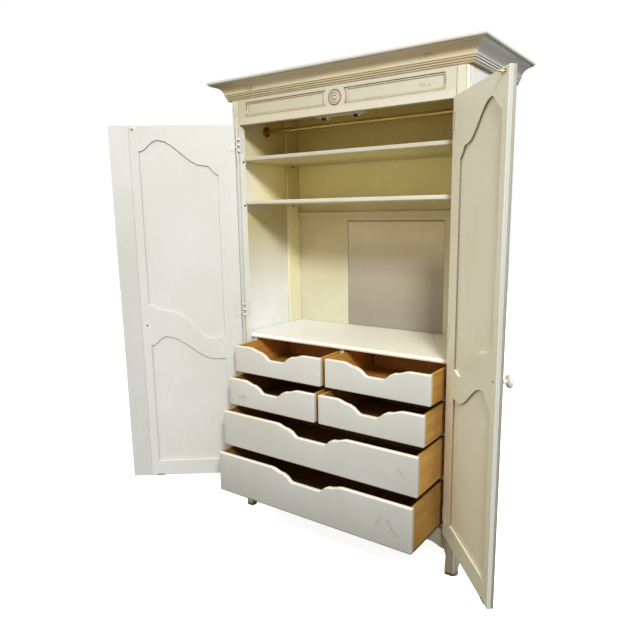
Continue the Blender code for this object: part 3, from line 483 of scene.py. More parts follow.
M = {
    "cream": paint("cream_paint", (0.72, 0.71, 0.64), zones=(FEET, SOLE)),
    # front posts: the same paint in lit and shaded tones, the left post cool and pale and darker at the top under the
    # crown's shadow, the right post darker and yellower and darkest near the floor (painted light and shade)
    "post_l": paint("cream_paint_left_post", by_height((1.88, (0.75, 0.775, 0.775)), (1.95, (0.60, 0.575, 0.475))), BROWN, crevice_glaze_and_shade=0.9, corners=(0.18, 0.60), lines=upright_lines,
                    zones=((facing(0, -1, 0.6, 0.9), OUTSIDE), FEET, SOLE, (motif(OX - 0.565, 1.995, 0.016, 0.030), MARK))),
    "post_r": paint("cream_paint_right_post", by_height((0.05, (0.31, 0.295, 0.245)), (0.32, (0.56, 0.525, 0.385)), (0.60, (0.72, 0.66, 0.43)), (1.60, (0.76, 0.68, 0.43)), (1.93, (0.57, 0.54, 0.44))), BROWN, crevice_glaze_and_shade=0.9, lines=upright_lines,
                    corners=(0.18, 0.60), zones=((facing(0, 1, 0.6, 0.9), OUTSIDE), FEET, SOLE)),
    "cream_x": paint("cream_paint_level", (0.640, 0.615, 0.510), along="x", crevice_glaze_and_shade=0.85, reach=0.014),
    # frieze: paler on its lower rail than on the panels above under the crown's shadow, and cooler towards the right
    # (painted light and shade)
    "frieze": paint("cream_paint_frieze", across(by_height((1.956, (0.60, 0.565, 0.48)), (1.967, (0.545, 0.515, 0.425))), (0.0, (0.93, 0.91, 0.85)), (1.0, (0.94, 0.96, 0.99))), BROWN, along="x", crevice_glaze_and_shade=1.0, reach=0.012, corners=(0.11, 0.40),
                    lines=either(rings_at(OX, BOSS_Z, ((0.0105, 0.0022, 0.8), (0.0200, 0.0022, 0.7), (0.0295, 0.0038, 1.0))), frieze_frames),
                    zones=((motif(OX + 0.412, 1.998, 0.036, 0.012, amount=0.55), MARK), (motif(OX - 0.474, 2.001, 0.018, 0.024, 70.0, 0.5), mul(BROWN, 1.3)))),
    # apron: the dark base and the patchy darkening below 0.24 m are painted shade under the drawers
    "apron": paint("cream_paint_apron", (0.28, 0.26, 0.20), along="x", zones=((low_down(0.24, 0.10, 0.6), (0.17, 0.15, 0.105)),)),
    # left door: a tone of the door paint set apart from the right door's and paler towards the floor, to match how the
    # light falls (painted light); recess sills are painted pale as a highlight and the downward-facing recess walls
    # dark as a shadow
    "door_l": paint("cream_paint_left_door", by_height((0.30, (0.600, 0.612, 0.630)), (1.90, (0.550, 0.560, 0.565))), crevice_glaze_and_shade=0.80, reach=0.008, corners=(0.30, 0.85), zones=((recess_sill_highlight("left"), (0.93, 0.93, 0.91)), (hinge_edge("left"), (0.53, 0.475, 0.345))),
                    lines=lambda t: t.math("MULTIPLY", t.math("MULTIPLY", recess_shadow_walls("left")(t), facing(2, -1, 0.20, 0.55)(t)), 0.9)),
    # closing stile: the door paint in a slightly darker tone by height (painted light)
    "stile_l": paint("cream_paint_closing_stile", by_height((0.30, (0.530, 0.542, 0.560)), (1.20, (0.520, 0.530, 0.545)), (1.80, (0.560, 0.572, 0.580))), crevice_glaze_and_shade=0.80, reach=0.008, corners=(0.30, 0.85)),
    # right door: a paler tone of the door paint than the left door's, darker towards the floor, to match how the light
    # falls (painted light and shade); its free-edge face is painted grey and the rebate along that edge dark as shade,
    # and the recess walls carry painted shadow lines
    "door_r": paint("cream_paint_right_door", by_height((0.30, (0.81, 0.78, 0.65)), (1.30, (0.93, 0.92, 0.825)), (1.85, (0.95, 0.945, 0.85))), crevice_glaze_and_shade=0.22, reach=0.006, corners=(0.30, 0.90),
                    lines=either(lambda t: t.math("MULTIPLY", recess_shadow_walls("right")(t), 0.85), lambda t: t.math("MULTIPLY", free_edge_shade_line("right", 0.0150, 0.0014)(t), 0.6)),
                    zones=((toward("right", (-1, 0, 0)), by_height((0.30, (0.44, 0.455, 0.465)), (1.90, (0.38, 0.39, 0.385)))),
                           (free_edge_shade_line("right", 0.0202, 0.0056), by_height((0.25, (0.17, 0.165, 0.150)), (1.10, (0.20, 0.19, 0.165)), (1.80, (0.26, 0.245, 0.195)))))),
    # back panel: its front face in painted light and shade by height
    "inner": paint("inner_paint", (0.60, 0.57, 0.47), along="z", mottle=0.10, zones=((facing(1, -1), BACK_LIGHT_AND_SHADE),)),
    # rear posts: front and inner faces in painted light and shade by height
    "rear_l": paint("rear_post_left", OUTSIDE, along="z", mottle=0.08, zones=(FEET, SOLE, (either(facing(1, -1), facing(0, 1)), POST_LIGHT_AND_SHADE))),
    "rear_r": paint("rear_post_right", OUTSIDE, along="z", mottle=0.08, zones=(FEET, SOLE, (either(facing(1, -1), facing(0, -1)), POST_LIGHT_AND_SHADE))),
    # side walls: inner faces in painted light and shade by height; the left wall is also paler at the front of the
    # upper bays where the light falls in (painted light)
    "wall_l": paint("left_wall_paint", OUTSIDE, along="z", mottle=0.08, zones=(FEET, SOLE, (facing(0, 1), WALL_LIGHT_AND_SHADE), (lit_upper_wall_front, by_height((1.58, (0.75, 0.745, 0.69)), (1.76, (0.78, 0.77, 0.69)), (1.79, (0.70, 0.66, 0.50)))))),
    "wall_r": paint("right_wall_paint", OUTSIDE, along="z", mottle=0.07, zones=(FEET, SOLE, (facing(0, -1), WALL_LIGHT_AND_SHADE))),
    # top panel, shelves and cleat: front faces toned by height as painted light and shade
    "inner_x": paint("inner_paint_level", (0.74, 0.67, 0.43), along="x", mottle=0.08,
                     zones=((facing(1, -1), by_height((1.548, (0.68, 0.62, 0.42)), (1.556, (0.58, 0.56, 0.49)), (1.60, (0.58, 0.56, 0.49)), (1.74, (0.48, 0.465, 0.40)))),)),
    # deck: cool and pale on the left, warmer to the right where the right door shades it (painted light and shade)
    "deck": paint("deck_paint", across((0.88, 0.88, 0.90), (0.0, (1.0, 1.0, 1.0)), (0.5, (0.975, 0.955, 0.86)), (1.0, (1.0, 0.965, 0.83))), along="x", mottle=0.05),
    # crown: painted light and shade, with the front cove warm and darker than the pale cool sides and top, its lower
    # beads darker still and the top lip grey; the level glaze lines sit in the quirks
    "crown": paint("crown_paint", by_height((2.070, (0.495, 0.425, 0.275)), (2.082, (0.655, 0.57, 0.405))), BROWN, along="x",
                   zones=((above(2.1150), (0.52, 0.51, 0.48)), (facing(0, 0, 0.04, 0.12), (0.82, 0.85, 0.88)), (facing(2, 1, 0.2, 0.6), (0.56, 0.56, 0.54)),
                          (motif(OX - 0.460, 2.088, 0.045, 0.014), MARK), (motif(OX + 0.430, 2.092, 0.034, 0.012, amount=0.45), MARK)),
                   lines=band_lines(((2.0474, 0.9), (2.0508, 0.8), (2.0553, 0.9), (2.0636, 0.9), (2.0722, 0.9), (2.1138, 1.0)), 0.0026)),
    # drawer fronts: darker towards the floor and the right (painted light), top rims painted pale as a highlight,
    # undersides near black as shade, and a painted shadow line along the bottom edge of each row
    "drawer": paint("drawer_front_paint", across(by_height((0.20, (0.43, 0.44, 0.45)), (0.42, (0.490, 0.494, 0.500)), (0.85, (0.58, 0.583, 0.578))), (0.0, 1.0), (0.55, 0.97), (1.0, 0.87)), along="x", wear=0.5,
                    zones=((facing(2, 1, 0.3, 0.8), (0.76, 0.74, 0.67)), (facing(2, -1, 0.2, 0.6), SHADE_BLACK), (motif(OX - 0.430, 0.665, 0.030, 0.022, amount=0.4), MARK)),
                    lines=band_lines(((0.2092, 2.6), (0.4292, 0.9), (0.6185, 0.9), (0.7704, 0.9)), 0.0050)),
    # access panel: dark low down and light higher up where the light falls, with its top edge and upward faces painted
    # dark as shade (painted light and shade)
    "grey": paint("grey_board", by_height((1.02, (0.31, 0.275, 0.235)), (1.24, (0.41, 0.366, 0.287)), (1.40, (0.75, 0.67, 0.47)), (GREY_TOP - 0.0040, (0.78, 0.69, 0.49)), (GREY_TOP - 0.0032, (0.20, 0.17, 0.11))), glaze=(0.10, 0.08, 0.05), wear=0.1, rough=0.6, zones=((facing(2, 1), (0.20, 0.17, 0.11)),)),
    "brass": metal("rod_brass", (0.72, 0.54, 0.24), 0.22, dark=0.80, scale=7.0),
    "bronze": metal("socket_bronze", (0.30, 0.17, 0.065), 0.30, dark=0.6, scale=25.0),
    "bright_brass": metal("strike_brass", (0.86, 0.68, 0.34), 0.22, 0.6),
    "pale_brass": metal("worn_strike", (0.80, 0.76, 0.62), 0.35, 0.7),
    "iron": metal("blackened_iron", (0.085, 0.055, 0.040), 0.45, 0.5, 0.6),
    # hinge paints: one paint in three tones, the door halves matching their doors' painted light
    "hinge_l": paint("hinge_paint_left", (0.575, 0.585, 0.585), (0.07, 0.055, 0.03), crevice_glaze_and_shade=1.0, reach=0.004, wear=0.6, rough=0.35, corners=(0.18, 0.60)),
    "hinge": paint("hinge_paint", (0.70, 0.71, 0.70), (0.07, 0.055, 0.03), crevice_glaze_and_shade=1.0, reach=0.004, wear=0.6, rough=0.35, corners=(0.18, 0.60)),
    "hinge_r": paint("hinge_paint_right", (0.74, 0.72, 0.60), (0.07, 0.055, 0.03), crevice_glaze_and_shade=1.0, reach=0.004, wear=0.6, rough=0.35, corners=(0.18, 0.60)),
    "knob": paint("knob_paint", (0.56, 0.56, 0.54), crevice_glaze_and_shade=0.9, reach=0.006, wear=0.5, rough=0.32),
    "sprig": paint("sprig_paint", (0.37, 0.375, 0.36), crevice_glaze_and_shade=0.2, wear=0.0, rough=0.5),
    "dark": paint("shadow_glaze", (0.10, 0.075, 0.035), crevice_glaze_and_shade=0.2, wear=0.0, rough=0.6),
    "plastic": paint("white_plastic", (0.80, 0.80, 0.78), glaze=(0.3, 0.3, 0.3), crevice_glaze_and_shade=0.3, wear=0.1, rough=0.35),
}

ROWS = ((0.7704, 0.8983), (0.6185, 0.7482), (0.4292, 0.5966), (0.2092, 0.4013))
DRAWERS = (("drawer_1", 0, -0.5124, -0.0108, -0.1201), ("drawer_2", 0, 0.0108, 0.5124, -0.1123), ("drawer_3", 1, -0.5124, -0.0108, -0.1684),
           ("drawer_4", 1, 0.0108, 0.5124, -0.1661), ("drawer_5", 2, -0.5124, 0.5124, -0.2170), ("drawer_6", 3, -0.5124, 0.5124, -0.2584))
# ------------------------------------------------------------------ shapes
def make(name, bm, mat, body, matrix=ROOT, bevel=0.0, seg=2, smooth=True, slot=None, angle=30):
    me = bpy.data.meshes.new(name)
    bmesh.ops.recalc_face_normals(bm, faces=bm.faces)
    bm.transform(matrix)
    if matrix.determinant() < 0:
        bmesh.ops.reverse_faces(bm, faces=bm.faces)
    bm.to_mesh(me)
    bm.free()
    ob = bpy.data.objects.new(name, me)
    bpy.context.scene.collection.objects.link(ob)
    me.materials.append(mat)
    dress(ob, bevel, seg, smooth, angle)
    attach(ob, body)
    return ob


def dress(ob, bevel, seg=2, smooth=True, angle=30):
    me = ob.data
    if bevel:
        me.shade_smooth()
        b = ob.modifiers.new("Bevel", "BEVEL")
        b.width = bevel
        b.segments = seg
        b.limit_method = "ANGLE"
        b.angle_limit = math.radians(angle)
        b.use_clamp_overlap = True
        w = ob.modifiers.new("Weights", "WEIGHTED_NORMAL")
        w.weight = 100
        w.keep_sharp = False
    elif smooth:
        me.shade_smooth()
        me.set_sharp_from_angle(angle=math.radians(angle + 8))


def refined(node, mat, body, bevel=0.0015, seg=3, slot="cream_paint", angle=30):
    """The CAD node's own shape with its triangles joined into faces and its arrises rounded."""
    src = NODES[node].data
    bm = bmesh.new()
    bm.from_mesh(src)
    bm.transform(NODES[node].matrix_world)
    bmesh.ops.remove_doubles(bm, verts=bm.verts, dist=1e-5)
    bmesh.ops.dissolve_limit(bm, angle_limit=math.radians(0.6), verts=bm.verts, edges=bm.edges)
    ob = make(node + "_fine", bm, mat, body, Matrix.Identity(4), bevel, seg, True, slot, angle)
    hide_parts(node)
    return ob


def add_box(bm, x0, x1, y0, y1, z0, z1):
    v = [bm.verts.new((x, y, z)) for x in (x0, x1) for y in (y0, y1) for z in (z0, z1)]
    for f in ((0, 1, 3, 2), (4, 6, 7, 5), (0, 4, 5, 1), (2, 3, 7, 6), (0, 2, 6, 4), (1, 5, 7, 3)):
        bm.faces.new([v[i] for i in f])


def add_lathe(bm, profile, steps, place):
    """(radius, height) points turned about local Z; radius 0 at an end closes on the axis."""
    rings = []
    for r, h in profile:
        if r < 1e-7:
            rings.append([bm.verts.new(place @ Vector((0, 0, h)))])
        else:
            rings.append([bm.verts.new(place @ Vector((r * math.cos(2 * math.pi * k / steps), r * math.sin(2 * math.pi * k / steps), h)))
                          for k in range(steps)])
    closed = len(rings[0]) > 1 and len(rings[-1]) > 1
    pairs = list(zip(rings, rings[1:])) + ([(rings[-1], rings[0])] if closed else [])
    for A, B in pairs:
        for k in range(steps):
            j = (k + 1) % steps
            u = []
            for v in (A[k % len(A)], A[j % len(A)], B[j % len(B)], B[k % len(B)]):
                if v not in u:
                    u.append(v)
            if len(u) > 2:
                bm.faces.new(u)


def add_prism(bm, outline, put, a, b):
    lo = [bm.verts.new(put(p, q, a)) for p, q in outline]
    hi = [bm.verts.new(put(p, q, b)) for p, q in outline]
    bm.faces.new(lo)
    bm.faces.new(hi)
    n = len(outline)
    for i in range(n):
        bm.faces.new((lo[i], lo[(i + 1) % n], hi[(i + 1) % n], hi[i]))


def turned(points, n=6):
    """Softens a lathe profile: each corner between straight runs becomes a short curve."""
    out = [points[0]]
    for p, c, q in zip(points, points[1:], points[2:]):
        p, c, q = Vector(p), Vector(c), Vector(q)
        a, b = c + (p - c) * 0.35, c + (q - c) * 0.35
        for k in range(n + 1):
            t = k / n
            v = a * (1 - t) ** 2 + c * 2 * t * (1 - t) + b * t * t
            out.append((max(0.0, v.x), v.y))
    out.append(points[-1])
    return out

# ------------------------------------------------------- carried-over wood
CAB = "cabinet"
for side in ("left", "right"):
    refined(side + "_front_post", M["post_" + side[0]], CAB, 0.0008, 2)
    refined(side + "_rear_post", M["rear_" + side[0]], CAB, 0.0010)
    refined(side + "_bay_side", M["cream"], CAB, 0.0006)
    refined(side + "_side_panel", M["wall_" + side[0]], CAB, 0.0010)
refined("frieze_rail", M["frieze"], CAB, 0.0006, 2, angle=24)
refined("front_apron", M["apron"], CAB, 0.0020)
refined("back_panel", M["inner"], CAB, 0.0006, slot="inner_paint")
refined("rear_access_panel", M["grey"], CAB, 0.0008, slot="grey_board")
refined("top_panel", M["inner_x"], CAB, 0.0008, slot="inner_paint")
refined("upper_shelf", M["inner_x"], CAB, 0.0014, slot="inner_paint")
refined("lower_shelf", M["inner_x"], CAB, 0.0014, slot="inner_paint")
refined("deck_panel", M["deck"], CAB, 0.0008, slot="inner_paint", angle=50)
refined("bottom_panel", M["cream_x"], CAB, 0.0010)
refined("back_cleat", M["inner_x"], CAB, 0.0020, slot="inner_paint")
# thin stops behind the access panel close the clearance round it
ap = [NODES["rear_access_panel"].matrix_world @ v.co for v in NODES["rear_access_panel"].data.vertices]
ax0, ax1, az0, az1, ay1 = min(v.x for v in ap), max(v.x for v in ap), min(v.z for v in ap), max(v.z for v in ap), max(v.y for v in ap)
bm = bmesh.new()
for x0, x1, z0, z1 in ((ax0 - 0.0012, ax1 + 0.0012, az1 - 0.0100, az1 + 0.0012), (ax0 - 0.0012, ax1 + 0.0012, az0 - 0.0012, az0 + 0.0100),
                       (ax0 - 0.0012, ax0 + 0.0100, az0 + 0.0103, az1 - 0.0103), (ax1 - 0.0100, ax1 + 0.0012, az0 + 0.0103, az1 - 0.0103)):
    add_box(bm, x0, x1, ay1 + 0.0003, ay1 + 0.0033, z0, z1)
make("rear_access_stops", bm, M["grey"], CAB, Matrix.Identity(4), bevel=0.0004, slot="grey_board")
for n in ("upper_divider", "lower_divider", "drawer_frame_1", "drawer_frame_2", "drawer_frame_3"):
    refined(n, M["cream_x"], CAB, 0.0010)

for side, mat in (("left", "door_l"), ("right", "door_r")):
    body = side + "_door"
    refined(side + "_door_frame", M[mat], body, 0.0012, 3)
    refined(side + "_upper_panel", M[mat], body, 0.0010, 2, angle=20)
    refined(side + "_lower_panel", M[mat], body, 0.0010, 2, angle=20)
refined("centre_stile", M["stile_l"], "left_door", 0.0010)
for body, row, x0, x1, y in DRAWERS:
    box_ = NODES[body + "_box"]
    pts = [box_.matrix_world @ v.co for v in box_.data.vertices]
    lo, hi = min(p.x for p in pts), max(p.x for p in pts)
    # painted light and shade row by row: k darkens the insides of the lower rows, the side tones shift each row's
    # sides, darkest in the lowest row; each box also gets painted shade deep inside and the lowest row a painted
    # shadow along its bottom
    k = (1.0, 0.56, 0.52, 0.66)[row]
    side_light_tone = ((0.99, 0.96, 0.78), (0.90, 0.90, 0.90), (0.92, 0.94, 0.92), (0.66, 0.67, 0.60))[row]
    mat = wood(body + "_wood", mul((0.605, 0.350, 0.105), side_light_tone), mul((0.43, 0.215, 0.045), side_light_tone), shade=0.5,
               inside=((lo + hi) / 2, (hi - lo) / 2 - 0.003, max(p.z for p in pts) - 0.0015, (k, k * 0.88, k * 0.85)), foot_shadow=min(p.z for p in pts) if row == 3 else None)
    refined(body + "_box", mat, body, 0.0012, 2, slot="drawer_wood")

# ----------------------------------------------------------- drawer fronts
def ease(t):
    t = min(1.0, max(0.0, t))
    return 0.5 - 0.5 * math.cos(math.pi * t)


def run(stations, n):
    """Curve through stations (x, z) joined by S-shaped eases, n points a span."""
    pts = [stations[0]]
    for (x0, z0), (x1, z1) in zip(stations, stations[1:]):
        k = n if abs(z1 - z0) > 0.004 else max(1, int((x1 - x0) / 0.03))
        for i in range(1, k + 1):
            t = i / k
            pts.append((x0 + (x1 - x0) * t, z0 + (z1 - z0) * ease(t)))
    return pts


def scallop(half):
    """Right half of a drawer front's top edge: (distance from centre, drop)."""
    if half > 0.4:
        st = [(0.0, 0.0440), (0.0720, 0.0440), (0.1120, 0.0200), (0.1180, 0.0155), (0.1280, 0.0140), (0.1900, 0.0000), (half, 0.0000)]
    else:
        st = [(0.0, 0.0480), (0.0350, 0.0480), (0.0830, 0.0210), (0.0870, 0.0165), (0.0950, 0.0150), (0.1600, 0.0000), (half, 0.0000)]
    return run(st, 9)


def drawer_front(name, x0, x1, y, z0, z1, mat, r_top=0.0065, r_end=0.0030):
    """A board with a scalloped top: every section across it is the same rounded slab, cut to its height."""
    cx, hw = (x0 + x1) / 2, (x1 - x0) / 2
    half = scallop(hw)
    line = [(-x, z1 - d) for x, d in reversed(half)] + [(x, z1 - d) for x, d in half[1:]]
    # end sections are drawn in a little so that the vertical arrises are eased too
    cols = []
    for (x, z) in line:
        cols.append((x, z))
    xs = [c[0] for c in cols]
    T_ = 0.020
    def section(x, z, inset, dx):
        """Closed loop round the slab at this x: up the face, over the rounded top, down the back."""
        pts = []
        yb, yf = y + T_ - inset, y + inset
        rt_ = r_top - inset * 0.5
        rb = 0.0020
        for k in range(5):
            a = math.pi / 2 * k / 4
            pts.append((yf + rb - rb * math.sin(a), z0 + inset + rb - rb * math.cos(a)))
        for k in range(7):
            a = math.pi / 2 * k / 6
            pts.append((yf + rt_ - rt_ * math.cos(a), z - inset - rt_ + rt_ * math.sin(a)))
        rk = 0.0040
        for k in range(6):
            a = math.pi / 2 * k / 5
            pts.append((yb - rk + rk * math.sin(a), z - inset - rk + rk * math.cos(a)))
        for k in range(4):
            a = math.pi / 2 * k / 3
            pts.append((yb - rb + rb * math.cos(a), z0 + inset + rb - rb * math.sin(a)))
        return [(cx + x + dx, py, pz) for py, pz in pts]
    bm = bmesh.new()
    loops = []
    for i, (x, z) in enumerate(cols):
        if i == 0:
            for k in range(4):
                a = math.pi / 2 * k / 3
                loops.append(section(x, z, r_end * (1 - math.sin(a)) * 0.6, r_end * (1 - math.cos(a))))
        elif i == len(cols) - 1:
            for k in range(3, -1, -1):
                a = math.pi / 2 * k / 3
                loops.append(section(x, z, r_end * (1 - math.sin(a)) * 0.6, -r_end * (1 - math.cos(a))))
        else:
            loops.append(section(x, z, 0.0, 0.0))
    rings = [[bm.verts.new(p) for p in lp] for lp in loops]
    for A, B in zip(rings, rings[1:]):
        n = len(A)
        for i in range(n):
            bm.faces.new((A[i], A[(i + 1) % n], B[(i + 1) % n], B[i]))
    bm.faces.new(rings[0])
    bm.faces.new(rings[-1])
    ob = make(name + "_front_fine", bm, mat, name, slot="drawer_front_paint", angle=30)
    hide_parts(name + "_front")
    return ob


for name, row, x0, x1, y in DRAWERS:
    drawer_front(name, x0, x1, y, ROWS[row][0], ROWS[row][1], M["drawer"])

# ------------------------------------------------------------------- crown
HALF, TOP, CREST = 0.592, 2.0460, 2.130
def crown_profile():
    z0 = TOP
    p = [(-0.0270, z0), (0.0120, z0)]
    def bead(xa, za, xb, zb, bulge, n=6):
        """A small round between two points of the profile."""
        a, b = Vector((xa, za)), Vector((xb, zb))
        d = b - a
        nrm = Vector((d.y, -d.x)).normalized()
        return [tuple(a + d * (k / n) + nrm * bulge * math.sin(math.pi * k / n)) for k in range(n + 1)]
    p += bead(0.0120, z0 + 0.0008, 0.0130, z0 + 0.0085, 0.0024)
    p += bead(0.0148, z0 + 0.0096, 0.0170, z0 + 0.0170, 0.0022)
    p += bead(0.0190, z0 + 0.0180, 0.0215, z0 + 0.0255, 0.0020)
    x0, x1, h0, h1 = 0.0246, 0.0722, z0 + 0.0262, CREST - 0.0180
    for k in range(0, 17):
        a = math.radians(90.0 * k / 16)
        p.append((x0 + (x1 - x0) * (1 - math.cos(a)), h0 + (h1 - h0) * math.sin(a)))
    p += [(0.0716, CREST - 0.0172), (0.0716, CREST - 0.0150)]
    p += bead(0.0740, CREST - 0.0148, 0.0790, CREST - 0.0002, 0.0046, 10)
    p += [(-0.0230, CREST), (-0.0270, CREST - 0.004)]
    return p


bm = bmesh.new()
sections = []
for corner in ("rear_l", "front_l", "front_r", "rear_r"):
    sx = -1 if corner.endswith("l") else 1
    sections.append([bm.verts.new((sx * (HALF + d), 0.5068 if corner.startswith("rear") else 0.0127 - d, z)) for d, z in crown_profile()])
for A, B in zip(sections, sections[1:]):
    n = len(A)
    for i in range(n):
        bm.faces.new((A[i], A[(i + 1) % n], B[(i + 1) % n], B[i]))
for sec in (sections[0], sections[-1]):
    bm.faces.new(sec)
crown = make("crown_moulding_fine", bm, M["crown"], CAB, slot="cream_paint", angle=24)
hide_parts("crown_moulding")
# the mitres stay crisp even where the two faces nearly agree
for e in crown.data.edges:
    a, b = (crown.data.vertices[i].co for i in e.vertices)
    on = [abs((abs(v.x - OX) - HALF) - (0.0127 - (v.y - OY))) < 2e-5 for v in (a, b)]
    if all(on) and (a.x - OX) * (b.x - OX) > 0:
        e.use_edge_sharp = True

# --------------------------------------------------------- rod and sockets
along_x = Matrix.Rotation(math.radians(90), 4, "Y")
ROD = Matrix.Translation((0, 0.242, 1.929))
bm = bmesh.new()
add_lathe(bm, [(0, -0.5770), (0.0106, -0.5770), (0.0110, -0.5762), (0.0110, 0.5762), (0.0106, 0.5770), (0, 0.5770)], 48, ROD @ along_x)
rod = make("closet_rod_fine", bm, M["brass"], CAB, slot="brass_tube")
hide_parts("closet_rod")
for s, side in ((-1, "left"), (1, "right")):
    bm = bmesh.new()
    prof = [(0.0118, 0.5772), (0.0250, 0.5772), (0.0250, 0.5745), (0.0242, 0.5730), (0.0225, 0.5718), (0.0190, 0.5712), (0.0184, 0.5700),
            (0.0180, 0.5640), (0.0174, 0.5632), (0.0130, 0.5632), (0.0118, 0.5640)]
    add_lathe(bm, [(r, s * h) for r, h in prof], 40, ROD @ along_x)
    sock = make(side + "_rod_socket_fine", bm, M["bronze"], CAB, slot="brass_tube")
    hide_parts(side + "_rod_socket")

# ------------------------------------------------------------------ hinges
HINGE_ZS = {"upper": 1.846, "middle": 1.060, "lower": 0.292}
LEAF_H, R, T = 0.066, 0.0052, 0.0016


def knuckle(z0, z1):
    """A knuckle swollen in the middle with a fine collar at each end."""
    h = z1 - z0
    pts = [(0.0028, z0), (R - 0.0014, z0), (R - 0.0009, z0 + 0.0006)]
    for k in range(9):
        a = math.pi * k / 8
        pts.append((R - 0.0010 + 0.0010 * math.sin(a), z0 + 0.0014 + (h - 0.0028) * k / 8))
    return pts + [(R - 0.0009, z1 - 0.0006), (R - 0.0014, z1), (0.0028, z1)]


def screw(bm, place, r=0.0032):
    """A flat countersunk head with a small round dip in its middle, standing 0.3 mm proud."""
    add_lathe(bm, [(0, -0.0004), (r, -0.0004), (r, 0.0001), (r * 0.82, 0.0005), (r * 0.30, 0.0006), (r * 0.22, 0.0001), (0, 0.0001)], 20, place)


for side, s in SIGN.items():
    hub = door_matrix(side)
    for nm, zc in HINGE_ZS.items():
        zb, zt = zc - LEAF_H / 2, zc + LEAF_H / 2
        pitch = LEAF_H / 5
        place = Matrix.Translation((s * PIN_X, PIN_Y, 0))
        bm = bmesh.new()
        steeple = [(0, zb - 0.0555), (0.0012, zb - 0.0545), (0.0017, zb - 0.046), (0.0031, zb - 0.020), (0.0036, zb - 0.0155), (0.0028, zb - 0.0135),
                   (0.0046, zb - 0.0105), (0.0047, zb - 0.0080), (0.0030, zb - 0.0055), (0.0040, zb - 0.0035), (0.0040, zb - 0.0012), (0.0028, zb - 0.0006)]
        stem = [(0.0027, zb), (0.0027, zt)]
        crest = [(r, 2 * zc - z) for r, z in reversed(steeple)]
        add_lathe(bm, steeple + stem + crest, 28, place)
        pin = make("%s_%s_hinge_pin" % (side, nm), bm, M["hinge"], CAB, slot="painted_metal", angle=40)
        bm = bmesh.new()
        for k in (0, 2, 4):
            add_lathe(bm, knuckle(zb + pitch * k + 0.0008, zb + pitch * (k + 1) - 0.0008), 28, place)
        fixed = make("%s_%s_hinge_fixed_knuckles" % (side, nm), bm, M["hinge"], CAB, slot="painted_metal", angle=40)
        bm = bmesh.new()
        X = 0.538 - 0.0003
        plan = [(X - T, 0.0330), (X - T, -0.0010), (X - 0.0008, -0.0050), (PIN_X - 0.0050, PIN_Y + 0.0030), (PIN_X - 0.0035, PIN_Y + 0.0044), (X, -0.0006), (X, 0.0330)]
        for k in (0, 2, 4):
            lo, hi = zb + pitch * k + 0.0010, zb + pitch * (k + 1) - 0.0010
            add_prism(bm, [(s * x, y) for x, y in ((X - T, 0.0012), *plan[1:6], (X, 0.0012))], lambda p, q, z: (p, q, z), lo, hi)
        straps = make("%s_%s_hinge_fixed_straps" % (side, nm), bm, M["hinge"], CAB, slot="painted_metal", bevel=0.0003)
        bm = bmesh.new()
        a, b = sorted((s * (X - T), s * X))
        add_box(bm, a, b, 0.0014, 0.0330, zb, zt)
        leaf = make("%s_%s_hinge_fixed_leaf" % (side, nm), bm, M["hinge"], CAB, slot="painted_metal", bevel=0.0005, seg=3)
        bm = bmesh.new()
        for y, dz in ((0.0120, -0.022), (0.0250, 0.0), (0.0120, 0.022)):
            screw(bm, Matrix.Translation((s * (X - T), y, zc + dz)) @ Matrix.Rotation(math.radians(-90 * s), 4, "Y"))
        make("%s_%s_hinge_fixed_screws" % (side, nm), bm, M["hinge"], CAB, slot="painted_metal")
        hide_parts("%s_%s_hinge_post_half" % (side, nm))
        # moving half
        door = side + "_door"
        bm = bmesh.new()
        for k in (1, 3):
            add_lathe(bm, knuckle(zb + pitch * k + 0.0004, zb + pitch * (k + 1) - 0.0004), 28, Matrix.Identity(4))
        moving = make("%s_%s_hinge_moving_knuckles" % (side, nm), bm, M["hinge_l" if side == "left" else "hinge_r"], door, hub, slot="painted_metal", angle=40)
        bm = bmesh.new()
        pl = [(0.0030, 0.0040), (0.0040, -0.0003 - T), (0.0072, -0.0003 - T), (0.0072, -0.0003), (0.0055, -0.0003), (0.0048, 0.0036), (0.0046, 0.0080)]
        for k in (1, 3):
            lo, hi = zb + pitch * k + 0.0010, zb + pitch * (k + 1) - 0.0010
            add_prism(bm, pl, lambda u, w, z: on_door(side, u, w, z), lo, hi)
        make("%s_%s_hinge_moving_straps" % (side, nm), bm, M["hinge_l" if side == "left" else "hinge_r"], door, hub, slot="painted_metal", bevel=0.0002)
        bm = bmesh.new()
        add_prism(bm, [(0.0074, -0.0003 - T), (0.0400, -0.0003 - T), (0.0400, -0.0003), (0.0074, -0.0003)], lambda u, w, z: on_door(side, u, w, z), zb, zt)
        make("%s_%s_hinge_moving_leaf" % (side, nm), bm, M["hinge_l" if side == "left" else "hinge_r"], door, hub, slot="painted_metal", bevel=0.0005, seg=3)
        bm = bmesh.new()
        for u, dz in ((0.0180, -0.022), (0.0310, 0.0), (0.0180, 0.022)):
            screw(bm, Matrix.Translation(on_door(side, u, -0.0003 - T, zc + dz)) @ Matrix.Rotation(math.radians(-90), 4, "X"))
        make("%s_%s_hinge_moving_screws" % (side, nm), bm, M["hinge_l" if side == "left" else "hinge_r"], door, hub, slot="painted_metal")
        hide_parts("%s_%s_hinge_door_half" % (side, nm))

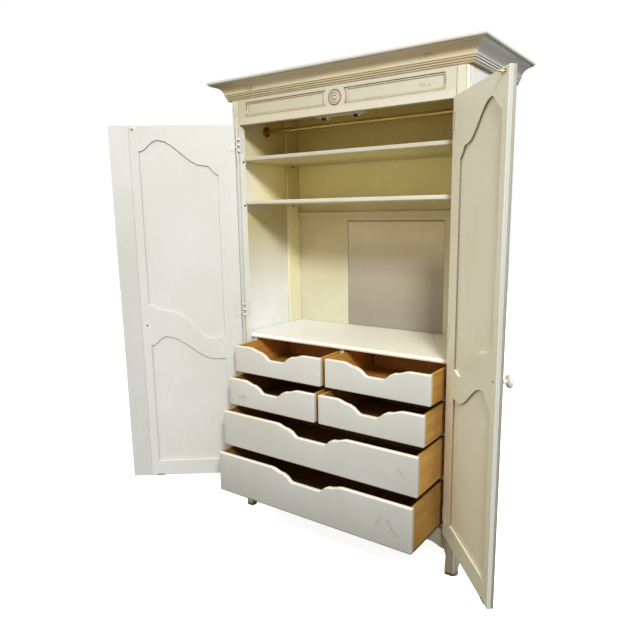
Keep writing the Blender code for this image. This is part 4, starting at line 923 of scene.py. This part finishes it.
# ------------------------------------------------------------------- knobs
face_y = Matrix.Rotation(math.radians(90), 4, "X")
KNOB_U, KNOB_Z = 0.470, 0.990
for side in SIGN:
    bm = bmesh.new()
    k0 = [(0, 0.0003), (0.0150, 0.0003), (0.0152, 0.0020), (0.0130, 0.0032), (0.0092, 0.0040), (0.0072, 0.0070), (0.0064, 0.0130), (0.0075, 0.0180),
          (0.0110, 0.0205), (0.0190, 0.0232), (0.0226, 0.0272), (0.0230, 0.0310), (0.0212, 0.0345), (0.0170, 0.0368), (0.0150, 0.0366), (0.0090, 0.0392), (0, 0.0402)]
    add_lathe(bm, turned(k0, 3), 40, Matrix.Translation(on_door(side, KNOB_U, DOOR_T, KNOB_Z)) @ face_y)
    knob = make(side + "_knob_fine", bm, M["knob"], side + "_door", door_matrix(side), slot="painted_metal", angle=50)
    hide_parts(side + "_knob")

# -------------------------------------------------- strikes, catches, pins
for side, u0, u1 in (("left", 0.462, 0.492), ("right", 0.440, 0.480)):
    hub = door_matrix(side)
    um = (u0 + u1) / 2
    bm = bmesh.new()
    add_prism(bm, [(u0, 1.9150), (u1, 1.9150), (u1, 1.9262), (u0, 1.9262)], lambda u, z, w: on_door(side, u, w, z), -0.0014, -0.0002)
    make(side + "_strike_plate", bm, M["bright_brass" if side == "right" else "pale_brass"], side + "_door", hub, slot="brass_tube", bevel=0.0005)
    bm = bmesh.new()
    add_lathe(bm, turned([(0, 0), (0.0042, 0), (0.0042, 0.0030), (0.0030, 0.0090), (0.0034, 0.0120), (0.0046, 0.0150), (0.0030, 0.0185), (0, 0.0190)], 3),
              20, Matrix.Translation(on_door(side, um, -0.0012, 1.9206)) @ Matrix.Rotation(math.radians(-90), 4, "X"))
    make(side + "_strike_prong", bm, M["bright_brass" if side == "right" else "pale_brass"], side + "_door", hub, slot="brass_tube", angle=50)
    bm = bmesh.new()
    for du in (-0.0100, 0.0100):
        screw(bm, Matrix.Translation(on_door(side, um + du, -0.0014, 1.9206)) @ Matrix.Rotation(math.radians(-90), 4, "X"), 0.0026)
    make(side + "_strike_screws", bm, M["bright_brass"], side + "_door", hub, slot="brass_tube")
    # screw of the knob on the inner face, and a small iron strike low on the door
    bm = bmesh.new()
    screw(bm, Matrix.Translation(on_door(side, KNOB_U, -0.0001, KNOB_Z)) @ Matrix.Rotation(math.radians(-90), 4, "X"), 0.0045)
    make(side + "_knob_screw", bm, M["iron"], side + "_door", hub, slot="painted_metal")
    bm = bmesh.new()
    add_prism(bm, [(0.434, 0.2035), (0.470, 0.2035), (0.470, 0.2090), (0.434, 0.2090)], lambda u, z, w: on_door(side, u, w, z), -0.0014, -0.0002)
    make(side + "_lower_strike", bm, M["iron"], side + "_door", hub, slot="painted_metal", bevel=0.0004)

for x in (-0.080, 0.080):
    tag = "left" if x < 0 else "right"
    bm = bmesh.new()
    add_box(bm, x - 0.0220, x + 0.0220, 0.0312, 0.0600, 1.9290, 1.9312)
    make(tag + "_catch_plate", bm, M["plastic"], CAB, slot="painted_metal", bevel=0.0006)
    bm = bmesh.new()
    for dx in (-0.0075, 0.0075):
        add_lathe(bm, turned([(0, -0.0090), (0.0050, -0.0090), (0.0056, -0.0040), (0.0056, 0.0040), (0.0050, 0.0090), (0, 0.0090)], 3), 24,
                  Matrix.Translation((x + dx, 0.0440, 1.9225)) @ Matrix.Rotation(math.radians(90), 4, "X"))
    make(tag + "_catch_rollers", bm, M["iron"], CAB, slot="painted_metal", angle=50)
    bm = bmesh.new()
    for dx in (-0.0150, 0.0150):
        add_box(bm, x + dx - 0.0012, x + dx + 0.0012, 0.0360, 0.0520, 1.9180, 1.9292)
    make(tag + "_catch_cheeks", bm, M["plastic"], CAB, slot="painted_metal", bevel=0.0004)
bm = bmesh.new()
add_box(bm, -0.1250, 0.1250, 0.0304, 0.0650, 1.9314, 1.9500)
make("catch_block", bm, M["cream_x"], CAB, slot="cream_paint", bevel=0.0012)

# shelf pins under the two shelves, in the rows of peg holes
for nm, z in (("upper", 1.7727), ("lower", 1.5694)):
    for s, side in ((-1, "left"), (1, "right")):
        for where, xf, y in (("front", 0.538, 0.0180), ("rear", 0.562, 0.4310)):
            bm = bmesh.new()
            add_lathe(bm, turned([(0, -0.0090), (0.0034, -0.0090), (0.0036, -0.0080), (0.0036, -0.0002), (0.0052, 0.0), (0.0052, 0.0014), (0, 0.0016)], 2), 20,
                      Matrix.Translation((s * (xf - 0.0016 + 0.0), y, z - 0.0060)) @ Matrix.Rotation(math.radians(-90 * s), 4, "Y"))
            make("%s_shelf_pin_%s_%s" % (nm, side, where), bm, M["iron"], CAB, slot="painted_metal", angle=50)

# unused peg holes of the front posts, closed with thin painted buttons
for s, side in ((-1, "left"), (1, "right")):
    bm = bmesh.new()
    for k in range(9):
        add_lathe(bm, [(0, 0.0001), (0.0044, 0.0001), (0.0044, 0.00018), (0.0040, 0.00034), (0, 0.00034)], 24,
                  Matrix.Translation((s * 0.5380, 0.0180, 1.171 + 0.0688 * k)) @ Matrix.Rotation(math.radians(-90 * s), 4, "Y"))
    make(side + "_peg_buttons", bm, M["post_" + side[0]], CAB, slot="cream_paint", angle=50)

# ------------------------------------------------------- painted sprigs
def sprig(name, centre, size, turn, body, put, seed):
    """A loose painted spray: a curved stem with paired leaves, 0.15 mm proud of the face."""
    bm = bmesh.new()
    def blade(p, ang, length, width, bend=0.0, n=8):
        left, right = [], []
        for i in range(n + 1):
            t = i / n
            c = Vector((p[0] + length * t * math.cos(ang + bend * t), p[1] + length * t * math.sin(ang + bend * t)))
            w = width * math.sin(math.pi * min(0.97, t * 0.94 + 0.03)) ** 0.8
            nx, ny = -math.sin(ang + bend * t), math.cos(ang + bend * t)
            left.append((c.x + nx * w, c.y + ny * w))
            right.append((c.x - nx * w, c.y - ny * w))
        loop = left + right[::-1]
        add_prism(bm, loop, put, -0.0001, 0.00015)
        return c
    cx, cy = centre
    rnd = lambda k: math.sin(seed * 12.9898 + k * 78.233) * 0.5
    blade((cx, cy), turn, size, size * 0.012, 0.5, 12)
    for k in range(5):
        t = 0.18 + 0.17 * k
        p = (cx + size * t * math.cos(turn + 0.5 * t), cy + size * t * math.sin(turn + 0.5 * t))
        for sgn in (-1, 1):
            blade(p, turn + 0.5 * t + sgn * (0.9 + 0.3 * rnd(k + sgn)), size * (0.20 - 0.02 * k), size * 0.030, -0.4 * sgn)
    return make(name, bm, M["sprig"], body, slot="cream_paint")


def on_face(y):
    return lambda p, q, t: (p, y - t, q)


sprig("drawer_5_sprig", (0.425, 0.545), 0.060, math.radians(-75), "drawer_5", on_face(-0.2170), 1)
sprig("drawer_6_sprig", (0.405, 0.345), 0.100, math.radians(-85), "drawer_6", on_face(-0.2584), 2)
sprig("drawer_6_spray", (0.395, 0.330), 0.075, math.radians(-160), "drawer_6", on_face(-0.2584), 3)

# ----------------------------------------------------- floor, light, camera
bm = bmesh.new()
for v in ((-9, -9), (9, -9), (9, 9), (-9, 9)):
    bm.verts.new((v[0], v[1], -0.0006))
bm.verts.ensure_lookup_table()
bm.faces.new(bm.verts[:])
me = bpy.data.meshes.new("floor")
bm.to_mesh(me)
bm.free()
floor = bpy.data.objects.new("floor", me)
bpy.context.scene.collection.objects.link(floor)
ft = Tree("floor_white")
ft.link(ft.mix(ft.noise(1.5, 2.0), (0.93, 0.93, 0.93), (0.91, 0.91, 0.91)), ft.b.inputs["Base Color"])
ft.b.inputs["Roughness"].default_value = 0.9
ft.b.inputs["Emission Color"].default_value = (1, 1, 1, 1)
ft.b.inputs["Emission Strength"].default_value = 0.82
me.materials.append(ft.m)
floor.visible_diffuse = False
floor.visible_glossy = False

world = bpy.data.worlds.new("studio")
bpy.context.scene.world = world
world.use_nodes = True
wt = world.node_tree
bg = wt.nodes["Background"]
bg.inputs[0].default_value = (1.0, 1.0, 1.0, 1.0)
bg.inputs[1].default_value = 1.0
# what lights the room: a warm soft dome, brightest high in front
dome = wt.nodes.new("ShaderNodeBackground")
coord = wt.nodes.new("ShaderNodeTexCoord")
lobe = wt.nodes.new("ShaderNodeVectorMath")
lobe.operation = "DOT_PRODUCT"
lobe.inputs[1].default_value = Vector((0.10, -0.62, 0.78)).normalized()
wt.links.new(coord.outputs["Generated"], lobe.inputs[0])
amount = wt.nodes.new("ShaderNodeMapRange")
amount.inputs["From Min"].default_value = -0.45
amount.inputs["From Max"].default_value = 1.0
amount.inputs["To Min"].default_value = 0.02
amount.inputs["To Max"].default_value = 1.08
wt.links.new(lobe.outputs["Value"], amount.inputs["Value"])
wt.links.new(amount.outputs[0], dome.inputs[1])
dome.inputs[0].default_value = (1.0, 0.93, 0.76, 1.0)
path = wt.nodes.new("ShaderNodeLightPath")
blend = wt.nodes.new("ShaderNodeMixShader")
wt.links.new(path.outputs["Is Camera Ray"], blend.inputs[0])
wt.links.new(dome.outputs[0], blend.inputs[1])
wt.links.new(bg.outputs[0], blend.inputs[2])
wt.links.new(blend.outputs[0], next(n for n in wt.nodes if n.type == "OUTPUT_WORLD").inputs[0])


def area(name, place, aim, size, power, colour=(1, 1, 1)):
    L = bpy.data.lights.new(name, "AREA")
    L.shape = "RECTANGLE"
    L.size, L.size_y = size
    L.energy = power
    L.color = colour
    ob = bpy.data.objects.new(name, L)
    bpy.context.scene.collection.objects.link(ob)
    ob.location = place
    ob.rotation_euler = (Vector(aim) - Vector(place)).to_track_quat("-Z", "Y").to_euler()
    return ob


area("key", (3.08, -3.43, 3.96), (0.0, 0.0, 1.3), (0.9, 0.9), 300, (0.95, 0.98, 1.0))
area("rear", (-1.8, 5.2, 2.2), (0.0, 0.3, 1.1), (3.0, 2.6), 85, (1.0, 0.98, 0.95))
area("side", (3.6, 0.6, 2.0), (0.4, 0.2, 1.3), (2.0, 2.4), 16, (0.93, 0.97, 1.0))

FOCAL, CX, CY = 594.67, 320.35, 325.05
yaw, pitch, roll = (math.radians(a) for a in (35.2875, -10.6976, -0.8048))
fw = Vector((-math.sin(yaw) * math.cos(pitch), math.cos(yaw) * math.cos(pitch), math.sin(pitch)))
rt = Vector((math.cos(yaw), math.sin(yaw), 0.0))
up = rt.cross(fw)
right = rt * math.cos(roll) + up * math.sin(roll)
top = -rt * math.sin(roll) + up * math.cos(roll)
cam = bpy.data.cameras.new("camera")
cam.sensor_width = 36.0
cam.lens = FOCAL * 36.0 / 640.0
cam.shift_x = -(CX - 320.0) / 640.0
cam.shift_y = (CY - 320.0) / 640.0
cam.clip_start = 0.05
camera = bpy.data.objects.new("camera", cam)
bpy.context.scene.collection.objects.link(camera)
m = Matrix((right, top, -fw)).transposed().to_4x4()
m.translation = Vector((1.4518 + OX, -2.1755 + OY, 1.5249))
camera.matrix_world = m
bpy.context.scene.camera = camera
bpy.context.scene.view_settings.view_transform = "Standard"
bpy.context.scene.view_settings.look = "None"

bpy.context.view_layer.update()
